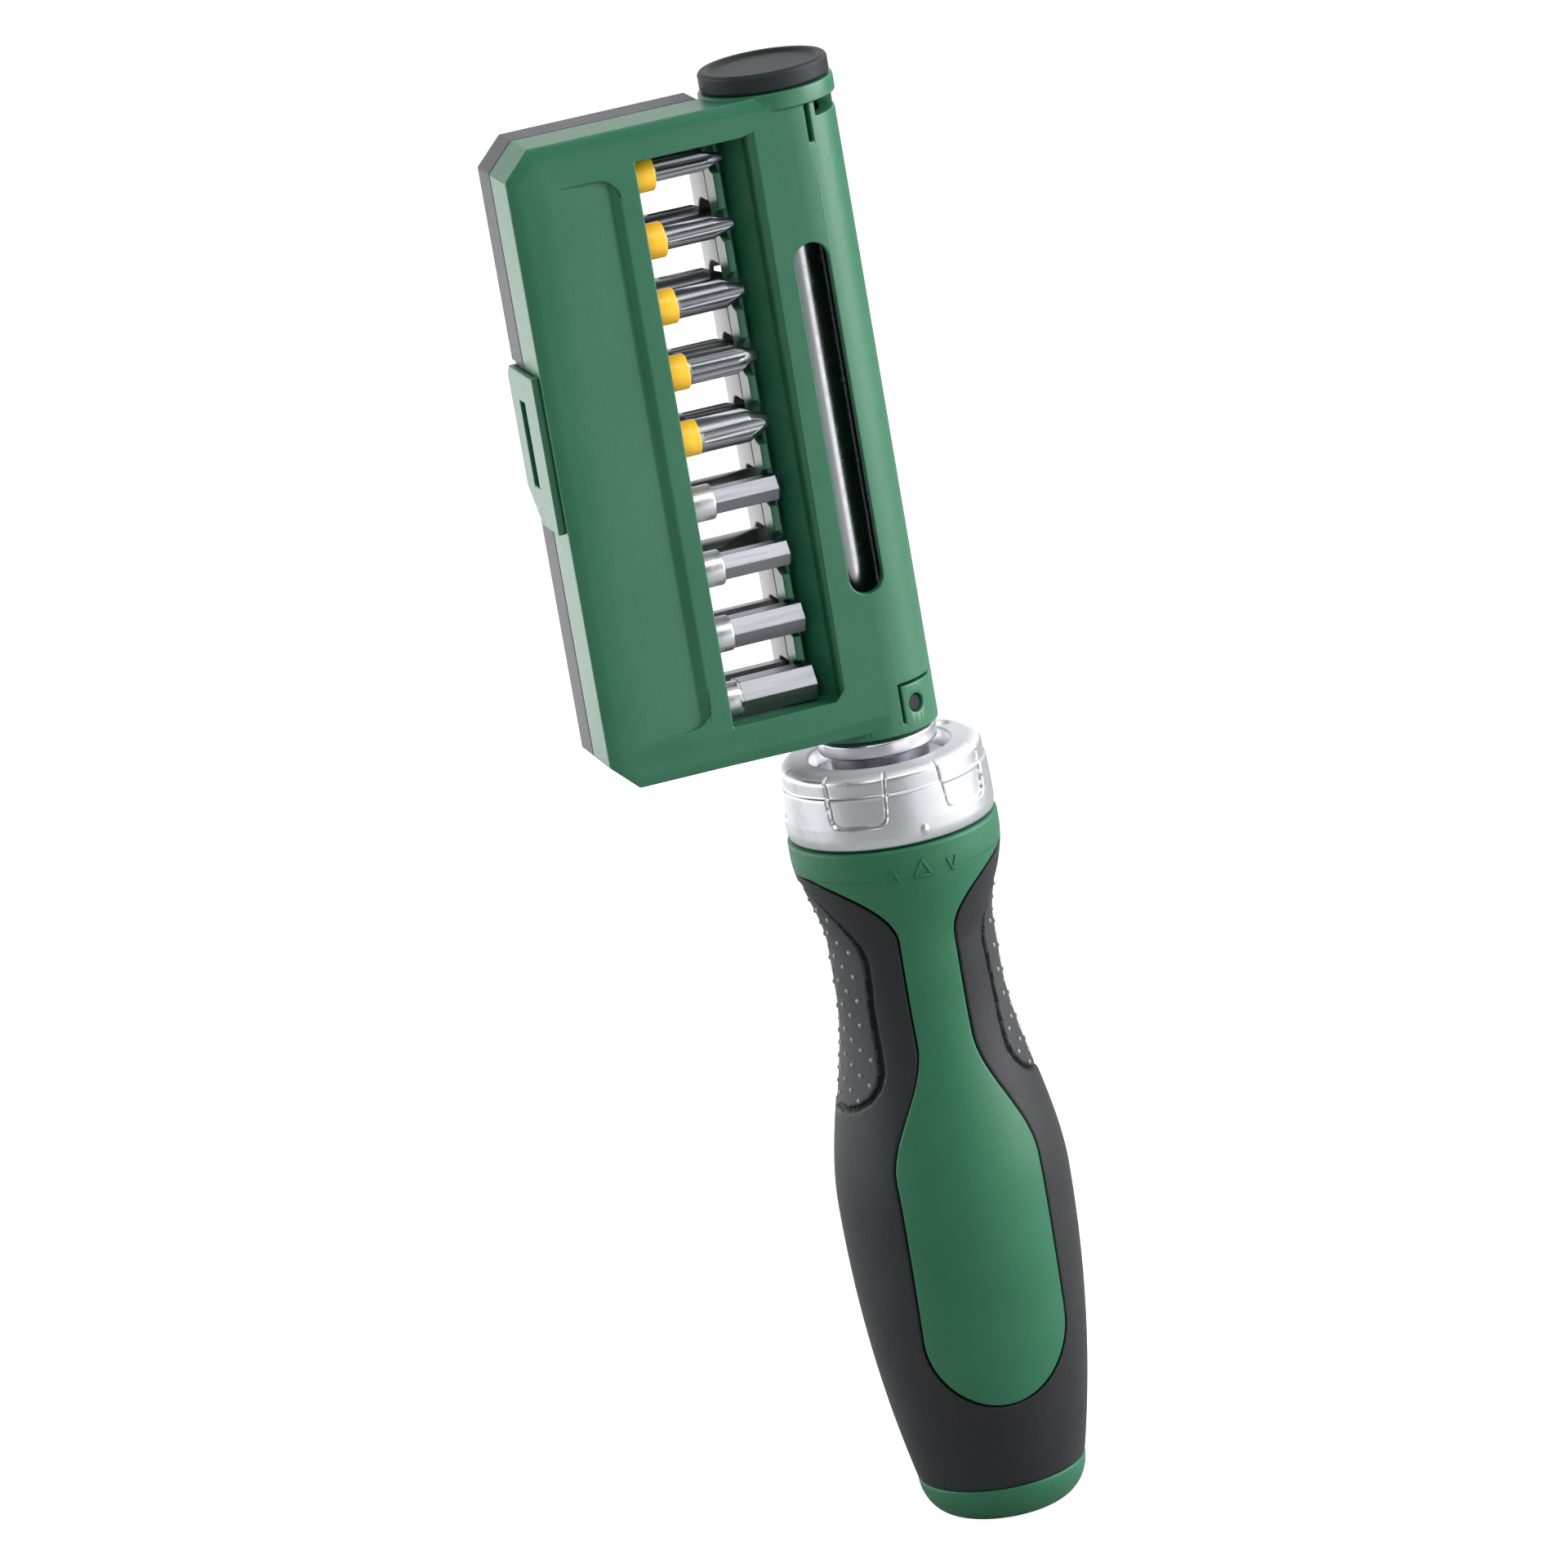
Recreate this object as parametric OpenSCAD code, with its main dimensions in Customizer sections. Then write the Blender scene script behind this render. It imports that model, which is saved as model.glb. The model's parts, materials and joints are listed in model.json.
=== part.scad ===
// Ratcheting screwdriver with a clip-on bit case.
// It stands on its butt: +Z runs along the spindle to the bit end, -Y is the front of the case
// and the case's box reaches to -X. The origin is the middle of the flat on the butt.

/* [Handle] */
// Length of the handle from the butt to the face under the collar
handle_len = 123.6; // [110:0.2:150]
// Height of the belly's widest place
belly_z = 58; // [50:1:64]
// Diameter of the handle at its neck
neck_d = 29.2; // [28.8:0.2:31]
// Diameter of the handle's top band
top_d = 36.2; // [35.6:0.2:38]
// How far the handle's belly stands out past the top band
belly_out = 2.1; // [1:0.1:4]
// Diameter of the flat on the butt
butt_flat_d = 19; // [12:1:22]
// Height of the butt cap up to its seam
cap_h = 6.8; // [5:0.2:9]
// Diameter of the handle at the cap's seam
cap_seam_d = 29.4; // [26:0.2:32]
// Thickness of the rubber grip
grip_t = 1.9; // [1.4:0.1:2.4]
// Width of the bare front panel at the belly
panel_belly_w = 25.4; // [20:0.2:28]
// Width of the bare front panel at the neck
panel_neck_w = 9.9; // [8:0.1:13]
// Height of the grip pads at the neck
pad_h = 40; // [30:1:42]
// Width of a grip pad, measured straight across
pad_w = 22.6; // [16:0.2:24]
// Depth of the sunk outline round a pad
pad_groove_t = 0.6; // [0.4:0.1:1]
// Turn of the handle's front panel against the case
handle_turn = -4.5; // [-15:0.5:15]

/* [Selector collar] */
// Height of the collar
collar_h = 13.1; // [11:0.1:16]
// Inset of the collar from the handle's top band
collar_inset = 0.15; // [0:0.05:0.5]
// Wall of the collar from its bore to its rim
collar_wall = 4.05; // [3.5:0.05:4.5]
// Number of finger panels sunk in the collar
collar_panels = 5; // [3:1:6]
// Depth of a finger panel
collar_panel_t = 0.8; // [0.3:0.1:1.2]
// Turn of the collar from the middle place to either side
collar_turn = 17; // [10:1:20]
// Turn of the collar against the case in its middle place
collar_rest = 4.5; // [-15:0.5:15]

/* [Ratchet] */
// Number of teeth on the ratchet gear
gear_teeth = 24; // [12:12:36]
// Wall of the ratchet housing round its pocket
housing_wall = 1.4; // [1:0.1:2]
// Thickness of the gear and the pawls
gear_h = 5; // [4:0.5:6]

/* [Spindle] */
// Diameter of the spindle
spindle_d = 10; // [9:0.2:11]
// Drop of the spindle's free end below the top of the case
spindle_drop = 3.8; // [3:0.1:8]
// Diameter of the ferrule at the spindle's foot
ferrule_d = 20.4; // [18:0.2:22]
// Gap round the ferrule in the collar's top opening
ferrule_gap = 2; // [1.4:0.1:2.4]
// Width of the hex socket across its flats
socket_w = 6.35; // [6.35:0.05:6.5]
// Depth of the hex socket
socket_depth = 12; // [10:0.5:14]

/* [Bit case] */
// Height of the case's box
case_len = 110.5; // [108:0.5:118]
// Reach of the box from the spindle's axis to its far edge
case_reach = 49.2; // [46:0.2:54]
// Depth of the back shell behind the seam
back_t = 10; // [9.4:0.1:12]
// Diameter of the tube round the spindle
tube_d = 21.8; // [21.4:0.1:23]
// Wall of the tube and the shells
wall = 1.8; // [1.4:0.1:2]
// Cut at the two outer corners of the box
corner_cut = 4.6; // [2:0.2:8]
// Distance from the tube to the window
window_gap = 2.1; // [1.9:0.1:2.6]
// Width of the window
window_w = 14.1; // [12:0.1:14.4]
// Height of the frame below and above the window
window_edge = 6.25; // [5.5:0.25:8]
// Width of the sloped edge round the front plate
plate_slope_w = 2.4; // [1:0.1:3]
// Depth of the sloped edge round the front plate
plate_slope_t = 0.7; // [0.3:0.1:1.2]
// Width of the viewing slot in the tube
view_w = 6; // [4:0.2:7]
// Length of the viewing slot
view_len = 61; // [40:1:70]
// Drop of the viewing slot's middle below the window's
view_drop = 1.4; // [0:0.2:4]
// Diameter of the black end plug
plug_d = 21.9; // [20:0.1:22.4]
// Thickness of the end plug's disc
plug_t = 3.5; // [2:0.1:5]

/* [Bits] */
// Number of bits in each row
bit_count = 9; // [3:1:9]
// Length of a bit
bit_len = 25; // [24.6:0.2:25.4]
// Width of a bit's shank across its flats
bit_w = 6.3; // [6.1:0.05:6.3]

/* [Hidden] */

green = [0.13, 0.42, 0.28];
dark = [0.22, 0.23, 0.25];
black = [0.08, 0.09, 0.10];
steel = [0.62, 0.63, 0.66];
bright = [0.80, 0.81, 0.84];
brass = [0.72, 0.58, 0.32];
yellow = [0.95, 0.72, 0.10];

// Overrun of every cut, gap between pieces that don't touch, running gap and press gap
cut = 0.5;
gap = 0.3;
run = 0.05;
fine_fn = 48;
mid_fn = 32;
small_fn = 20;

// Handle heights and radii
neck_r = neck_d / 2;
top_r = top_d / 2;
belly_r = top_r + belly_out;
belly_d = belly_r * 2;
flat_r = butt_flat_d / 2;
seam_r = cap_seam_d / 2;
neck_low_share = 0.777;
neck_high_share = 0.841;
band_share = 0.979;
neck_low_z = handle_len * neck_low_share;
neck_high_z = handle_len * neck_high_share;
band_z = handle_len * band_share;
belly_power = 2.1;
panel_low_share = 0.39;
panel_round_share = 0.62;
panel_wide_share = 1.12;
panel_neck_share = 0.92;
panel_flare_share = 1.02;
panel_top_share = 0.985;
panel_low_z = belly_z * panel_low_share;
panel_round_z = belly_z * panel_round_share;
panel_wide_z = belly_z * panel_wide_share;
panel_neck_z = neck_low_z * panel_neck_share;
panel_flare_z = neck_high_z * panel_flare_share;
panel_top_z = band_z * panel_top_share;

// Share of the way from a to b, and a soft step of it
function way(z, a, b) = min(1, max(0, (z - a) / (b - a)));
function soft(t) = t * t * (3 - 2 * t);
function mix(a, b, t) = a + (b - a) * t;

// Radius of the handle at a height
function handle_r(z) =
    z < cap_h ? mix(flat_r, seam_r, sqrt(1 - pow(1 - way(z, 0, cap_h), 2))) :
    z < belly_z ? belly_r - (belly_r - seam_r) * pow(1 - way(z, cap_h, belly_z), belly_power) :
    z < neck_high_z ? mix(belly_r, neck_r, soft(way(z, belly_z, neck_low_z))) :
    mix(neck_r, top_r, soft(way(z, neck_high_z, band_z)));

// Half the width of the bare panel at a height: round foot, belly, waist and flare
function panel_half(z) =
    z < panel_round_z ? panel_belly_w / 2 * sqrt(1 - pow(1 - way(z, panel_low_z, panel_round_z), 2)) :
    z < panel_wide_z ? panel_belly_w / 2 :
    z < panel_flare_z ? mix(panel_belly_w, panel_neck_w, soft(way(z, panel_wide_z, panel_neck_z))) / 2 :
    mix(panel_neck_w / 2, top_r + cut, pow(way(z, panel_flare_z, panel_top_z), 2));

// Stack of heights above the handle
collar_z = handle_len + gap;
collar_top_z = collar_z + collar_h;
ferrule_z = collar_top_z + gap;
ferrule_h = 3.4;
tube_z = ferrule_z + ferrule_h + gap;
tube_r = tube_d / 2;
bore_r = tube_r - wall;
seam_gap = 0.15;
row_gap = 0.1;

// Ratchet housing and what it holds
collar_r = top_r - collar_inset;
collar_bore_r = collar_r - collar_wall;
housing_r = collar_bore_r - cut;
housing_depth = 19.5;
housing_wide_h = 8;
housing_floor_t = 2.4;
stem_r = 9.5;
journal_tail = 8.5;
pocket_r = housing_r - housing_wall;
pocket_z = handle_len - gap;
gear_z = pocket_z + gap * 2;
cover_z = gear_z + gear_h + gap;
cover_t = 1.5;
housing_top_z = cover_z + cover_t;
cam_z = housing_top_z + gap;
cam_t = 2;
washer_z = cam_z + cam_t + gap;
washer_t = 1;
ferrule_r = ferrule_d / 2;
collar_open_r = ferrule_r + ferrule_gap;
washer_r = ferrule_r + wall / 2;
bush_wall = 1.6;
journal_r = 4;
journal_z = handle_len - housing_depth - journal_tail;
spindle_r = spindle_d / 2;

// Room between the spindle and the pocket's wall, shared out among the gear and the pawls
room = pocket_r - spindle_r;
gear_share = 0.27;
tooth_share = 0.13;
pivot_share = 0.615;
hub_share = 0.27;
pin_share = 0.13;
arm_share = 0.24;
lift_share = 0.1;
lift_out_share = 0.13;
nose_share = 0.086;
wire_share = 0.064;
pawl_share = 0.64;
gear_r = spindle_r + room * gear_share;
tooth_t = room * tooth_share;
pivot_r = spindle_r + room * pivot_share;
pivot_az = 50;
pin_r = room * pin_share;
pawl_hub_r = room * hub_share;
pawl_arm_t = room * arm_share;
pawl_h = gear_h * pawl_share;
arm_r = gear_r + gap + pawl_arm_t / 2;
tooth_az = 360 / gear_teeth;
nose_near_az = 88;
nose_az = (floor(nose_near_az / tooth_az - 0.5) + 0.5) * tooth_az;

// Journal and its bush
bush_r = journal_r + run + bush_wall;
bush_z = handle_len - housing_depth;
bush_len = pocket_z - bush_z;
circlip_t = 1;
circlip_z = bush_z - gap - circlip_t;
ring_wire_r = 0.5;

// Spindle
plate_z = tube_z + wall;
plate_top_z = plate_z + case_len;
spindle_top_z = plate_top_z - spindle_drop;
socket_z = spindle_top_z - socket_depth;
magnet_r = 2.4;
magnet_t = 2;
groove_t = 0.6;
snap_ring_share = 0.3;
snap_ring_z = spindle_top_z - socket_depth * snap_ring_share;
snap_ring_r = socket_w / 2 + groove_t;
snap_ring_h = 0.9;

// Case
flange_r = tube_r + cut;
flange_t = 3;
flange_z = plate_top_z + gap - flange_t;
ring_low_h = 8.7;
ring_high_h = 6.6;
ring_step = 1.05;
ring_bore_r = tube_r - wall - ring_step;
window_right = tube_r + window_gap;
window_left = window_right + window_w;
window_h = case_len - window_edge * 2;
window_z = plate_z + window_edge + gap;
hinge_x = bore_r;
hinge_y = wall + row_gap;
hinge_pin_r = 0.8;
bead_r = hinge_y - seam_gap;
hex_r = bit_w / cos(30) / 2;
bit_front_y = tube_r - wall - gap - hex_r;
bit_back_y = back_t - wall - gap - hex_r;
bit_pitch = (window_h - bit_w - cut) / (bit_count - 1);
bit_z = window_z + window_h / 2 - bit_pitch * (bit_count - 1) / 2;
bit_tip = window_right - wall - gap;
shank_share = 0.36;
shank_len = bit_len * shank_share;
neck_len = 3;
rack_end = window_left + gap;
arm_in_share = 0.7;
arm_in_x = tube_r * arm_in_share;
rib_w = 1.4;
rib_top = bit_front_y + gap * 2;
rib_floor = wall + cut;
back_edge_cut = 2.6;
back_right = flange_r + gap * 2;

// Latch
latch_h = 27;
latch_low_share = 0.41;
latch_z = plate_z + case_len * latch_low_share;
latch_t = 1;
latch_axis_y = tube_r - wall;
latch_hook = 1.2;

module ring(r_out, r_in, h) {
    difference() {
        cylinder(r = r_out, h = h, $fn = fine_fn);
        translate([0, 0, -cut]) cylinder(r = r_in, h = h + cut * 2, $fn = fine_fn);
    }
}

handle_steps = 26;
function handle_z(i) = cap_h + (handle_len - cap_h) * i / handle_steps;

// The handle above the cap's seam, drawn in by a skin's thickness
module handle_form(skin) {
    rotate_extrude($fn = fine_fn)
        polygon(concat(
            [[0, cap_h]],
            [for (i = [0 : handle_steps]) [handle_r(handle_z(i)) - skin, handle_z(i)]],
            [[0, handle_len]]));
}

// Outline of the bare panel, standing in the XZ plane
module panel_outline() {
    n = 36;
    z = [for (i = [0 : n]) panel_low_z + (panel_top_z - panel_low_z) * i / n];
    polygon(concat(
        [for (i = [0 : n]) [panel_half(z[i]), z[i]]],
        [[top_r + cut, handle_len + cut], [-top_r - cut, handle_len + cut]],
        [for (i = [n : -1 : 1]) [-panel_half(z[i]), z[i]]]));
}

module panel_prism() {
    reach = max(belly_r, top_r) + cut;
    rotate([90, 0, 0]) translate([0, 0, -reach]) linear_extrude(height = reach * 2) panel_outline();
}

// Direction marks sunk in the neck: an arrow up, an arrow down and a closed square between them.
// The points are shares of the mark's width, across and up.
mark_w = 2.6;
mark_t = 0.35;
mark_share = 0.965;
mark_z = mark_share * handle_len;
up_shares = [[-0.5, -0.4], [0.5, -0.4], [0, 0.5]];
lock_shares = [[-0.4, -0.4], [0.4, -0.4], [0.4, 0.4], [-0.4, 0.4]];
down_shares = [[-0.5, 0.4], [0, -0.5], [0.5, 0.4]];
module direction_mark(az, shares) {
    slope = atan((handle_r(mark_z + mark_w / 2) - handle_r(mark_z - mark_w / 2)) / mark_w);
    rotate([0, 0, az]) translate([0, -handle_r(mark_z), mark_z]) rotate([90 - slope, 0, 0])
        translate([0, 0, -mark_t]) linear_extrude(height = wall) polygon(shares * mark_w);
}

module handle_core() {
    color(green) rotate([0, 0, handle_turn]) difference() {
        union() {
            handle_form(grip_t);
            intersection() {
                handle_form(0);
                panel_prism();
            }
        }
        translate([0, 0, handle_len - housing_depth - gap])
            cylinder(r = stem_r, h = housing_depth * 2, $fn = fine_fn);
        translate([0, 0, handle_len - housing_wide_h - gap])
            cylinder(r = housing_r, h = housing_depth, $fn = fine_fn);
        translate([0, 0, journal_z - wall]) cylinder(r = bush_r, h = handle_len, $fn = mid_fn);
        direction_mark(-collar_turn, up_shares);
        direction_mark(0, lock_shares);
        direction_mark(collar_turn, down_shares);
    }
}

// Outline of a grip pad seen from the side, drawn in by an inset. Its points are shares of half
// the pad's width and of its height.
pad_foot_share = 0.617;
pad_groove_w = 1;
pad_shares = [[0, 0], [0.41, 0.008], [0.66, 0.028], [0.88, 0.068], [0.97, 0.12], [1, 0.18],
    [0.95, 0.27], [0.89, 0.37], [0.86, 0.47], [0.88, 0.57], [0.89, 0.67], [0.83, 0.75],
    [0.7, 0.84], [0.51, 0.92], [0.28, 0.98], [0, 1]];
module pad_outline(inset) {
    w = pad_w / 2 - inset;
    h = pad_h - inset * 2;
    foot = handle_len * pad_foot_share + inset;
    n = len(pad_shares);
    polygon(concat([for (i = [0 : n - 1]) [pad_shares[i][0] * w, foot + pad_shares[i][1] * h]],
        [for (i = [n - 2 : -1 : 1]) [-pad_shares[i][0] * w, foot + pad_shares[i][1] * h]]));
}

module rubber_grip() {
    color(dark) rotate([0, 0, handle_turn]) difference() {
        handle_form(0);
        handle_form(grip_t);
        panel_prism();
        difference() {
            rotate([90, 0, 90]) translate([0, 0, -belly_d]) linear_extrude(height = belly_d * 2)
                difference() {
                    pad_outline(0);
                    pad_outline(pad_groove_w);
                }
            handle_form(pad_groove_t);
        }
    }
}

module butt_cap() {
    n = 7;
    z = [for (i = [0 : n]) cap_h * (1 - cos(90 * i / n))];
    color(green) rotate_extrude($fn = fine_fn)
        polygon(concat([[0, 0]], [for (i = [0 : n]) [handle_r(z[i]), z[i]]], [[0, cap_h]]));
}

// Places a pawl's pivot on its side of the gear
module at_pivot(side) {
    rotate([0, 0, side * pivot_az]) translate([0, -pivot_r, 0]) children();
}

module ratchet_housing() {
    groove_z = collar_z + gear_h / 2;
    color(steel) difference() {
        rotate_extrude($fn = fine_fn) polygon([
            [0, handle_len - housing_depth], [stem_r, handle_len - housing_depth],
            [stem_r, handle_len - housing_wide_h], [housing_r, handle_len - housing_wide_h],
            [housing_r, housing_top_z], [0, housing_top_z]]);
        translate([0, 0, pocket_z]) cylinder(r = pocket_r, h = housing_top_z, $fn = fine_fn);
        translate([0, 0, bush_z - cut]) cylinder(r = bush_r, h = housing_top_z, $fn = mid_fn);
        rotate_extrude($fn = fine_fn) translate([housing_r, groove_z]) circle(r = ring_wire_r, $fn = 16);
        for (side = [-1, 1]) at_pivot(side) translate([0, 0, pocket_z - housing_floor_t])
            cylinder(r = pin_r, h = housing_floor_t * 2, $fn = small_fn);
    }
}

module bearing_bush() {
    color(brass) translate([0, 0, bush_z]) ring(bush_r, journal_r + run, bush_len);
}

module collar_ring() {
    groove_z = collar_z + gear_h / 2;
    color(black) rotate_extrude($fn = fine_fn) translate([housing_r, groove_z])
        circle(r = ring_wire_r - run, $fn = 16);
}

module pawl_pin(side) {
    color(steel) at_pivot(side) translate([0, 0, pocket_z - housing_floor_t + gap])
        cylinder(r = pin_r, h = housing_top_z - pocket_z + housing_floor_t - gap, $fn = small_fn);
}
module pawl_pin_left() { pawl_pin(-1); }
module pawl_pin_right() { pawl_pin(1); }

// Sector between two radii and two angles from the front, cut over a height
module arc_cut(r0, r1, az0, az1, z, h) {
    n = 6;
    translate([0, 0, z]) linear_extrude(height = h) polygon(concat(
        [for (i = [0 : n]) r0 * [sin(mix(az0, az1, i / n)), -cos(mix(az0, az1, i / n))]],
        [for (i = [n : -1 : 0]) r1 * [sin(mix(az0, az1, i / n)), -cos(mix(az0, az1, i / n))]]));
}

// Slot for a pawl's lift pin: as far out as the pin swings, with a spare turn to either side
lift_r = room * lift_share;
lift_out = room * lift_out_share;
lift_spare_az = 1;
module lift_slot(side, spare_az, z, h) {
    half_az = asin((lift_r + gap * 2) / arm_r) + spare_az;
    arc_cut(arm_r - lift_r - gap, arm_r + lift_r + lift_out + gap,
        side * nose_az - half_az, side * nose_az + half_az, z - cut, h + cut * 2);
}

module cover_plate() {
    color(steel) difference() {
        translate([0, 0, cover_z]) ring(pocket_r - run, spindle_r + gap, cover_t);
        for (side = [-1, 1]) {
            at_pivot(side) translate([0, 0, pocket_z])
                cylinder(r = pin_r + run, h = housing_top_z, $fn = small_fn);
            lift_slot(side, 0, cover_z, cover_t);
        }
    }
}

module gear_outline() {
    step = tooth_az;
    tip_share = 0.16;
    root_share = 0.34;
    polygon([for (i = [0 : gear_teeth - 1]) for (k = [0 : 3])
        let (a = step * (i + [tip_share, root_share, 1 - root_share, 1 - tip_share][k]),
             r = k == 1 || k == 2 ? gear_r - tooth_t : gear_r)
        [r * sin(a), -r * cos(a)]]);
}

module ratchet_gear() {
    color(steel) translate([0, 0, gear_z]) difference() {
        linear_extrude(height = gear_h) gear_outline();
        translate([0, 0, -cut]) cylinder(r = journal_r, h = gear_h + cut * 2, $fn = mid_fn);
    }
}

// A pawl: hub on its pin, arm along the gear and a nose in the gap between two teeth
module pawl(side) {
    pivot = [pivot_r * sin(pivot_az), -pivot_r * cos(pivot_az)];
    nose_w = room * nose_share;
    nose_r = gear_r - tooth_t + nose_w / 2 + run * 3;
    arm = [arm_r * sin(nose_az), -arm_r * cos(nose_az)];
    nose = [nose_r * sin(nose_az), -nose_r * cos(nose_az)];
    color(steel) scale([side, 1, 1]) translate([0, 0, gear_z]) {
        difference() {
            union() {
                translate(pivot) cylinder(r = pawl_hub_r, h = pawl_h, $fn = mid_fn);
                linear_extrude(height = pawl_h) {
                    hull() {
                        translate(pivot) circle(d = pawl_arm_t, $fn = 16);
                        translate(arm) circle(d = pawl_arm_t, $fn = 16);
                    }
                    hull() {
                        translate(nose) circle(d = nose_w, $fn = 8);
                        translate(arm) circle(d = nose_w * 2, $fn = 8);
                    }
                }
            }
            translate([pivot[0], pivot[1], -cut])
                cylinder(r = pin_r + run, h = gear_h + cut * 2, $fn = small_fn);
        }
        translate(arm) cylinder(r = lift_r, h = cam_z + cam_t / 2 - gear_z, $fn = small_fn);
    }
}
module pawl_left() { pawl(-1); }
module pawl_right() { pawl(1); }

// Torsion coil of flat wire round the pivot pin, on top of the hub
module pawl_spring(side) {
    wire_w = room * wire_share;
    r_in = pin_r + run * 3;
    arc = 150;
    turns = 2;
    n = 3;
    color(steel) at_pivot(side) translate([0, 0, gear_z + pawl_h + run])
        linear_extrude(height = gear_h - pawl_h, twist = turns * 360, slices = turns * 12) polygon(concat(
            [for (i = [0 : n]) r_in * [cos(arc * i / n), sin(arc * i / n)]],
            [for (i = [n : -1 : 0]) (r_in + wire_w) * [cos(arc * i / n), sin(arc * i / n)]]));
}
module pawl_spring_left() { pawl_spring(-1); }
module pawl_spring_right() { pawl_spring(1); }

panel_gap_az = 79.6;
function collar_az(i) = panel_gap_az / 2 + i * (360 - panel_gap_az) / (collar_panels - 1);

module selector_collar() {
    edge = 1.3;
    step_t = 0.35;
    rim_h = 2.2;
    panel_az = 36;
    panel_low_share = 0.27;
    step_low_share = 0.62;
    step_high_share = 0.65;
    narrow_share = 0.86;
    panel_low = collar_z + collar_h * panel_low_share;
    panel_half = collar_r * sin(panel_az / 2);
    mark_r = 0.9;
    bore_top = cam_z + cam_t + run;
    color(bright) rotate([0, 0, collar_rest]) difference() {
        rotate_extrude($fn = fine_fn * 1.5) polygon([
            [collar_bore_r, collar_z], [collar_r, collar_z], [collar_r, collar_z + rim_h],
            [collar_r - step_t, collar_z + rim_h + step_t],
            [collar_r - step_t, collar_z + collar_h * step_low_share],
            [collar_r - step_t * 2, collar_z + collar_h * step_high_share],
            [collar_r - step_t * 2, collar_top_z - edge], [collar_r - step_t * 2 - edge, collar_top_z],
            [collar_open_r, collar_top_z], [collar_open_r - edge / 2, bore_top], [collar_bore_r, bore_top]]);
        for (i = [0 : collar_panels - 1]) rotate([0, 0, collar_az(i)]) intersection() {
            translate([0, 0, panel_low]) ring(collar_r + cut, collar_r - step_t - collar_panel_t, collar_h);
            rotate([90, 0, 0]) linear_extrude(height = collar_r * 2) polygon([
                [-panel_half * narrow_share, panel_low - cut], [panel_half * narrow_share, panel_low - cut],
                [panel_half, collar_top_z + cut], [-panel_half, collar_top_z + cut]]);
        }
        translate([0, -(collar_open_r + collar_r) / 2, collar_top_z]) sphere(r = mark_r, $fn = small_fn);
        translate([0, -collar_r - mark_r / 2, collar_z + rim_h]) sphere(r = mark_r, $fn = small_fn);
    }
}

// Ring inside the collar with a slot for each pawl's lift pin
module cam_ring() {
    color(steel) difference() {
        translate([0, 0, cam_z]) ring(collar_bore_r - run, spindle_r + cut, cam_t);
        for (side = [-1, 1]) lift_slot(side, collar_turn + lift_spare_az, cam_z, cam_t);
    }
}

// Hexagon across its flats, its corners to the sides of a lying bit
module hex_prism(af, h) {
    rotate([0, 0, 30]) cylinder(d = af / cos(30), h = h, $fn = 6);
}

module spindle() {
    tip_edge = 0.8;
    color(bright) difference() {
        rotate_extrude($fn = fine_fn) polygon([
            [0, journal_z], [journal_r - groove_t, journal_z], [journal_r, journal_z + groove_t],
            [journal_r, circlip_z], [journal_r - groove_t, circlip_z],
            [journal_r - groove_t, circlip_z + circlip_t], [journal_r, circlip_z + circlip_t],
            [journal_r, gear_z + gear_h], [spindle_r, gear_z + gear_h],
            [spindle_r, spindle_top_z - tip_edge], [spindle_r - tip_edge, spindle_top_z],
            [0, spindle_top_z]]);
        translate([0, 0, socket_z]) hex_prism(socket_w, socket_depth + cut);
        translate([0, 0, socket_z - magnet_t]) cylinder(r = magnet_r, h = magnet_t + cut, $fn = mid_fn);
        translate([0, 0, snap_ring_z]) cylinder(r = snap_ring_r, h = snap_ring_h, $fn = mid_fn);
    }
}

module ferrule() {
    r = ferrule_r;
    edge = 0.6;
    skirt_r = r - wall;
    color(bright) rotate_extrude($fn = fine_fn) polygon([
        [spindle_r, washer_z + washer_t], [skirt_r, washer_z + washer_t], [skirt_r, ferrule_z],
        [r, ferrule_z + edge], [r, ferrule_z + ferrule_h - edge],
        [r - edge, ferrule_z + ferrule_h], [spindle_r, ferrule_z + ferrule_h]]);
}

module retaining_washer() {
    color(steel) translate([0, 0, washer_z]) ring(washer_r, spindle_r, washer_t);
}

module thrust_washer() {
    color(brass) translate([0, 0, pocket_z]) ring(gear_r, journal_r + run, gap - run);
}

module spindle_circlip() {
    lug_w = 2.6;
    color(steel) translate([0, 0, circlip_z]) difference() {
        ring(bush_r - gap, journal_r - groove_t, circlip_t);
        translate([-lug_w / 2, 0, -cut]) cube([lug_w, bush_r * 2, circlip_t + cut * 2]);
    }
}

module socket_magnet() {
    color(steel) translate([0, 0, socket_z - magnet_t]) cylinder(r = magnet_r, h = magnet_t, $fn = mid_fn);
}

module socket_ring() {
    wire = snap_ring_h - run * 2;
    color(steel) translate([0, 0, snap_ring_z + run]) difference() {
        ring(snap_ring_r - run, socket_w / 2 + run, wire);
        translate([0, -wire, -cut]) cube([socket_w, wire * 2, wire + cut * 2]);
    }
}

// Outline of the box in the XZ plane, from its far edge to a given right edge
corner_share = 2 - sqrt(2);
module box_outline(right, inset) {
    left = case_reach - inset;
    low = plate_z + inset;
    high = plate_top_z - inset;
    c = corner_cut - inset * corner_share;
    polygon([[-left + c, low], [-right, low], [-right, high], [-left + c, high],
        [-left, high - c], [-left, low + c]]);
}

// Extrudes an XZ outline over a range of Y
module along_y(y0, y1) {
    translate([0, y1, 0]) rotate([90, 0, 0]) linear_extrude(height = y1 - y0) children();
}

module window_cut(y0, y1) {
    along_y(y0, y1) translate([-window_left, window_z]) square([window_w, window_h]);
}

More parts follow.
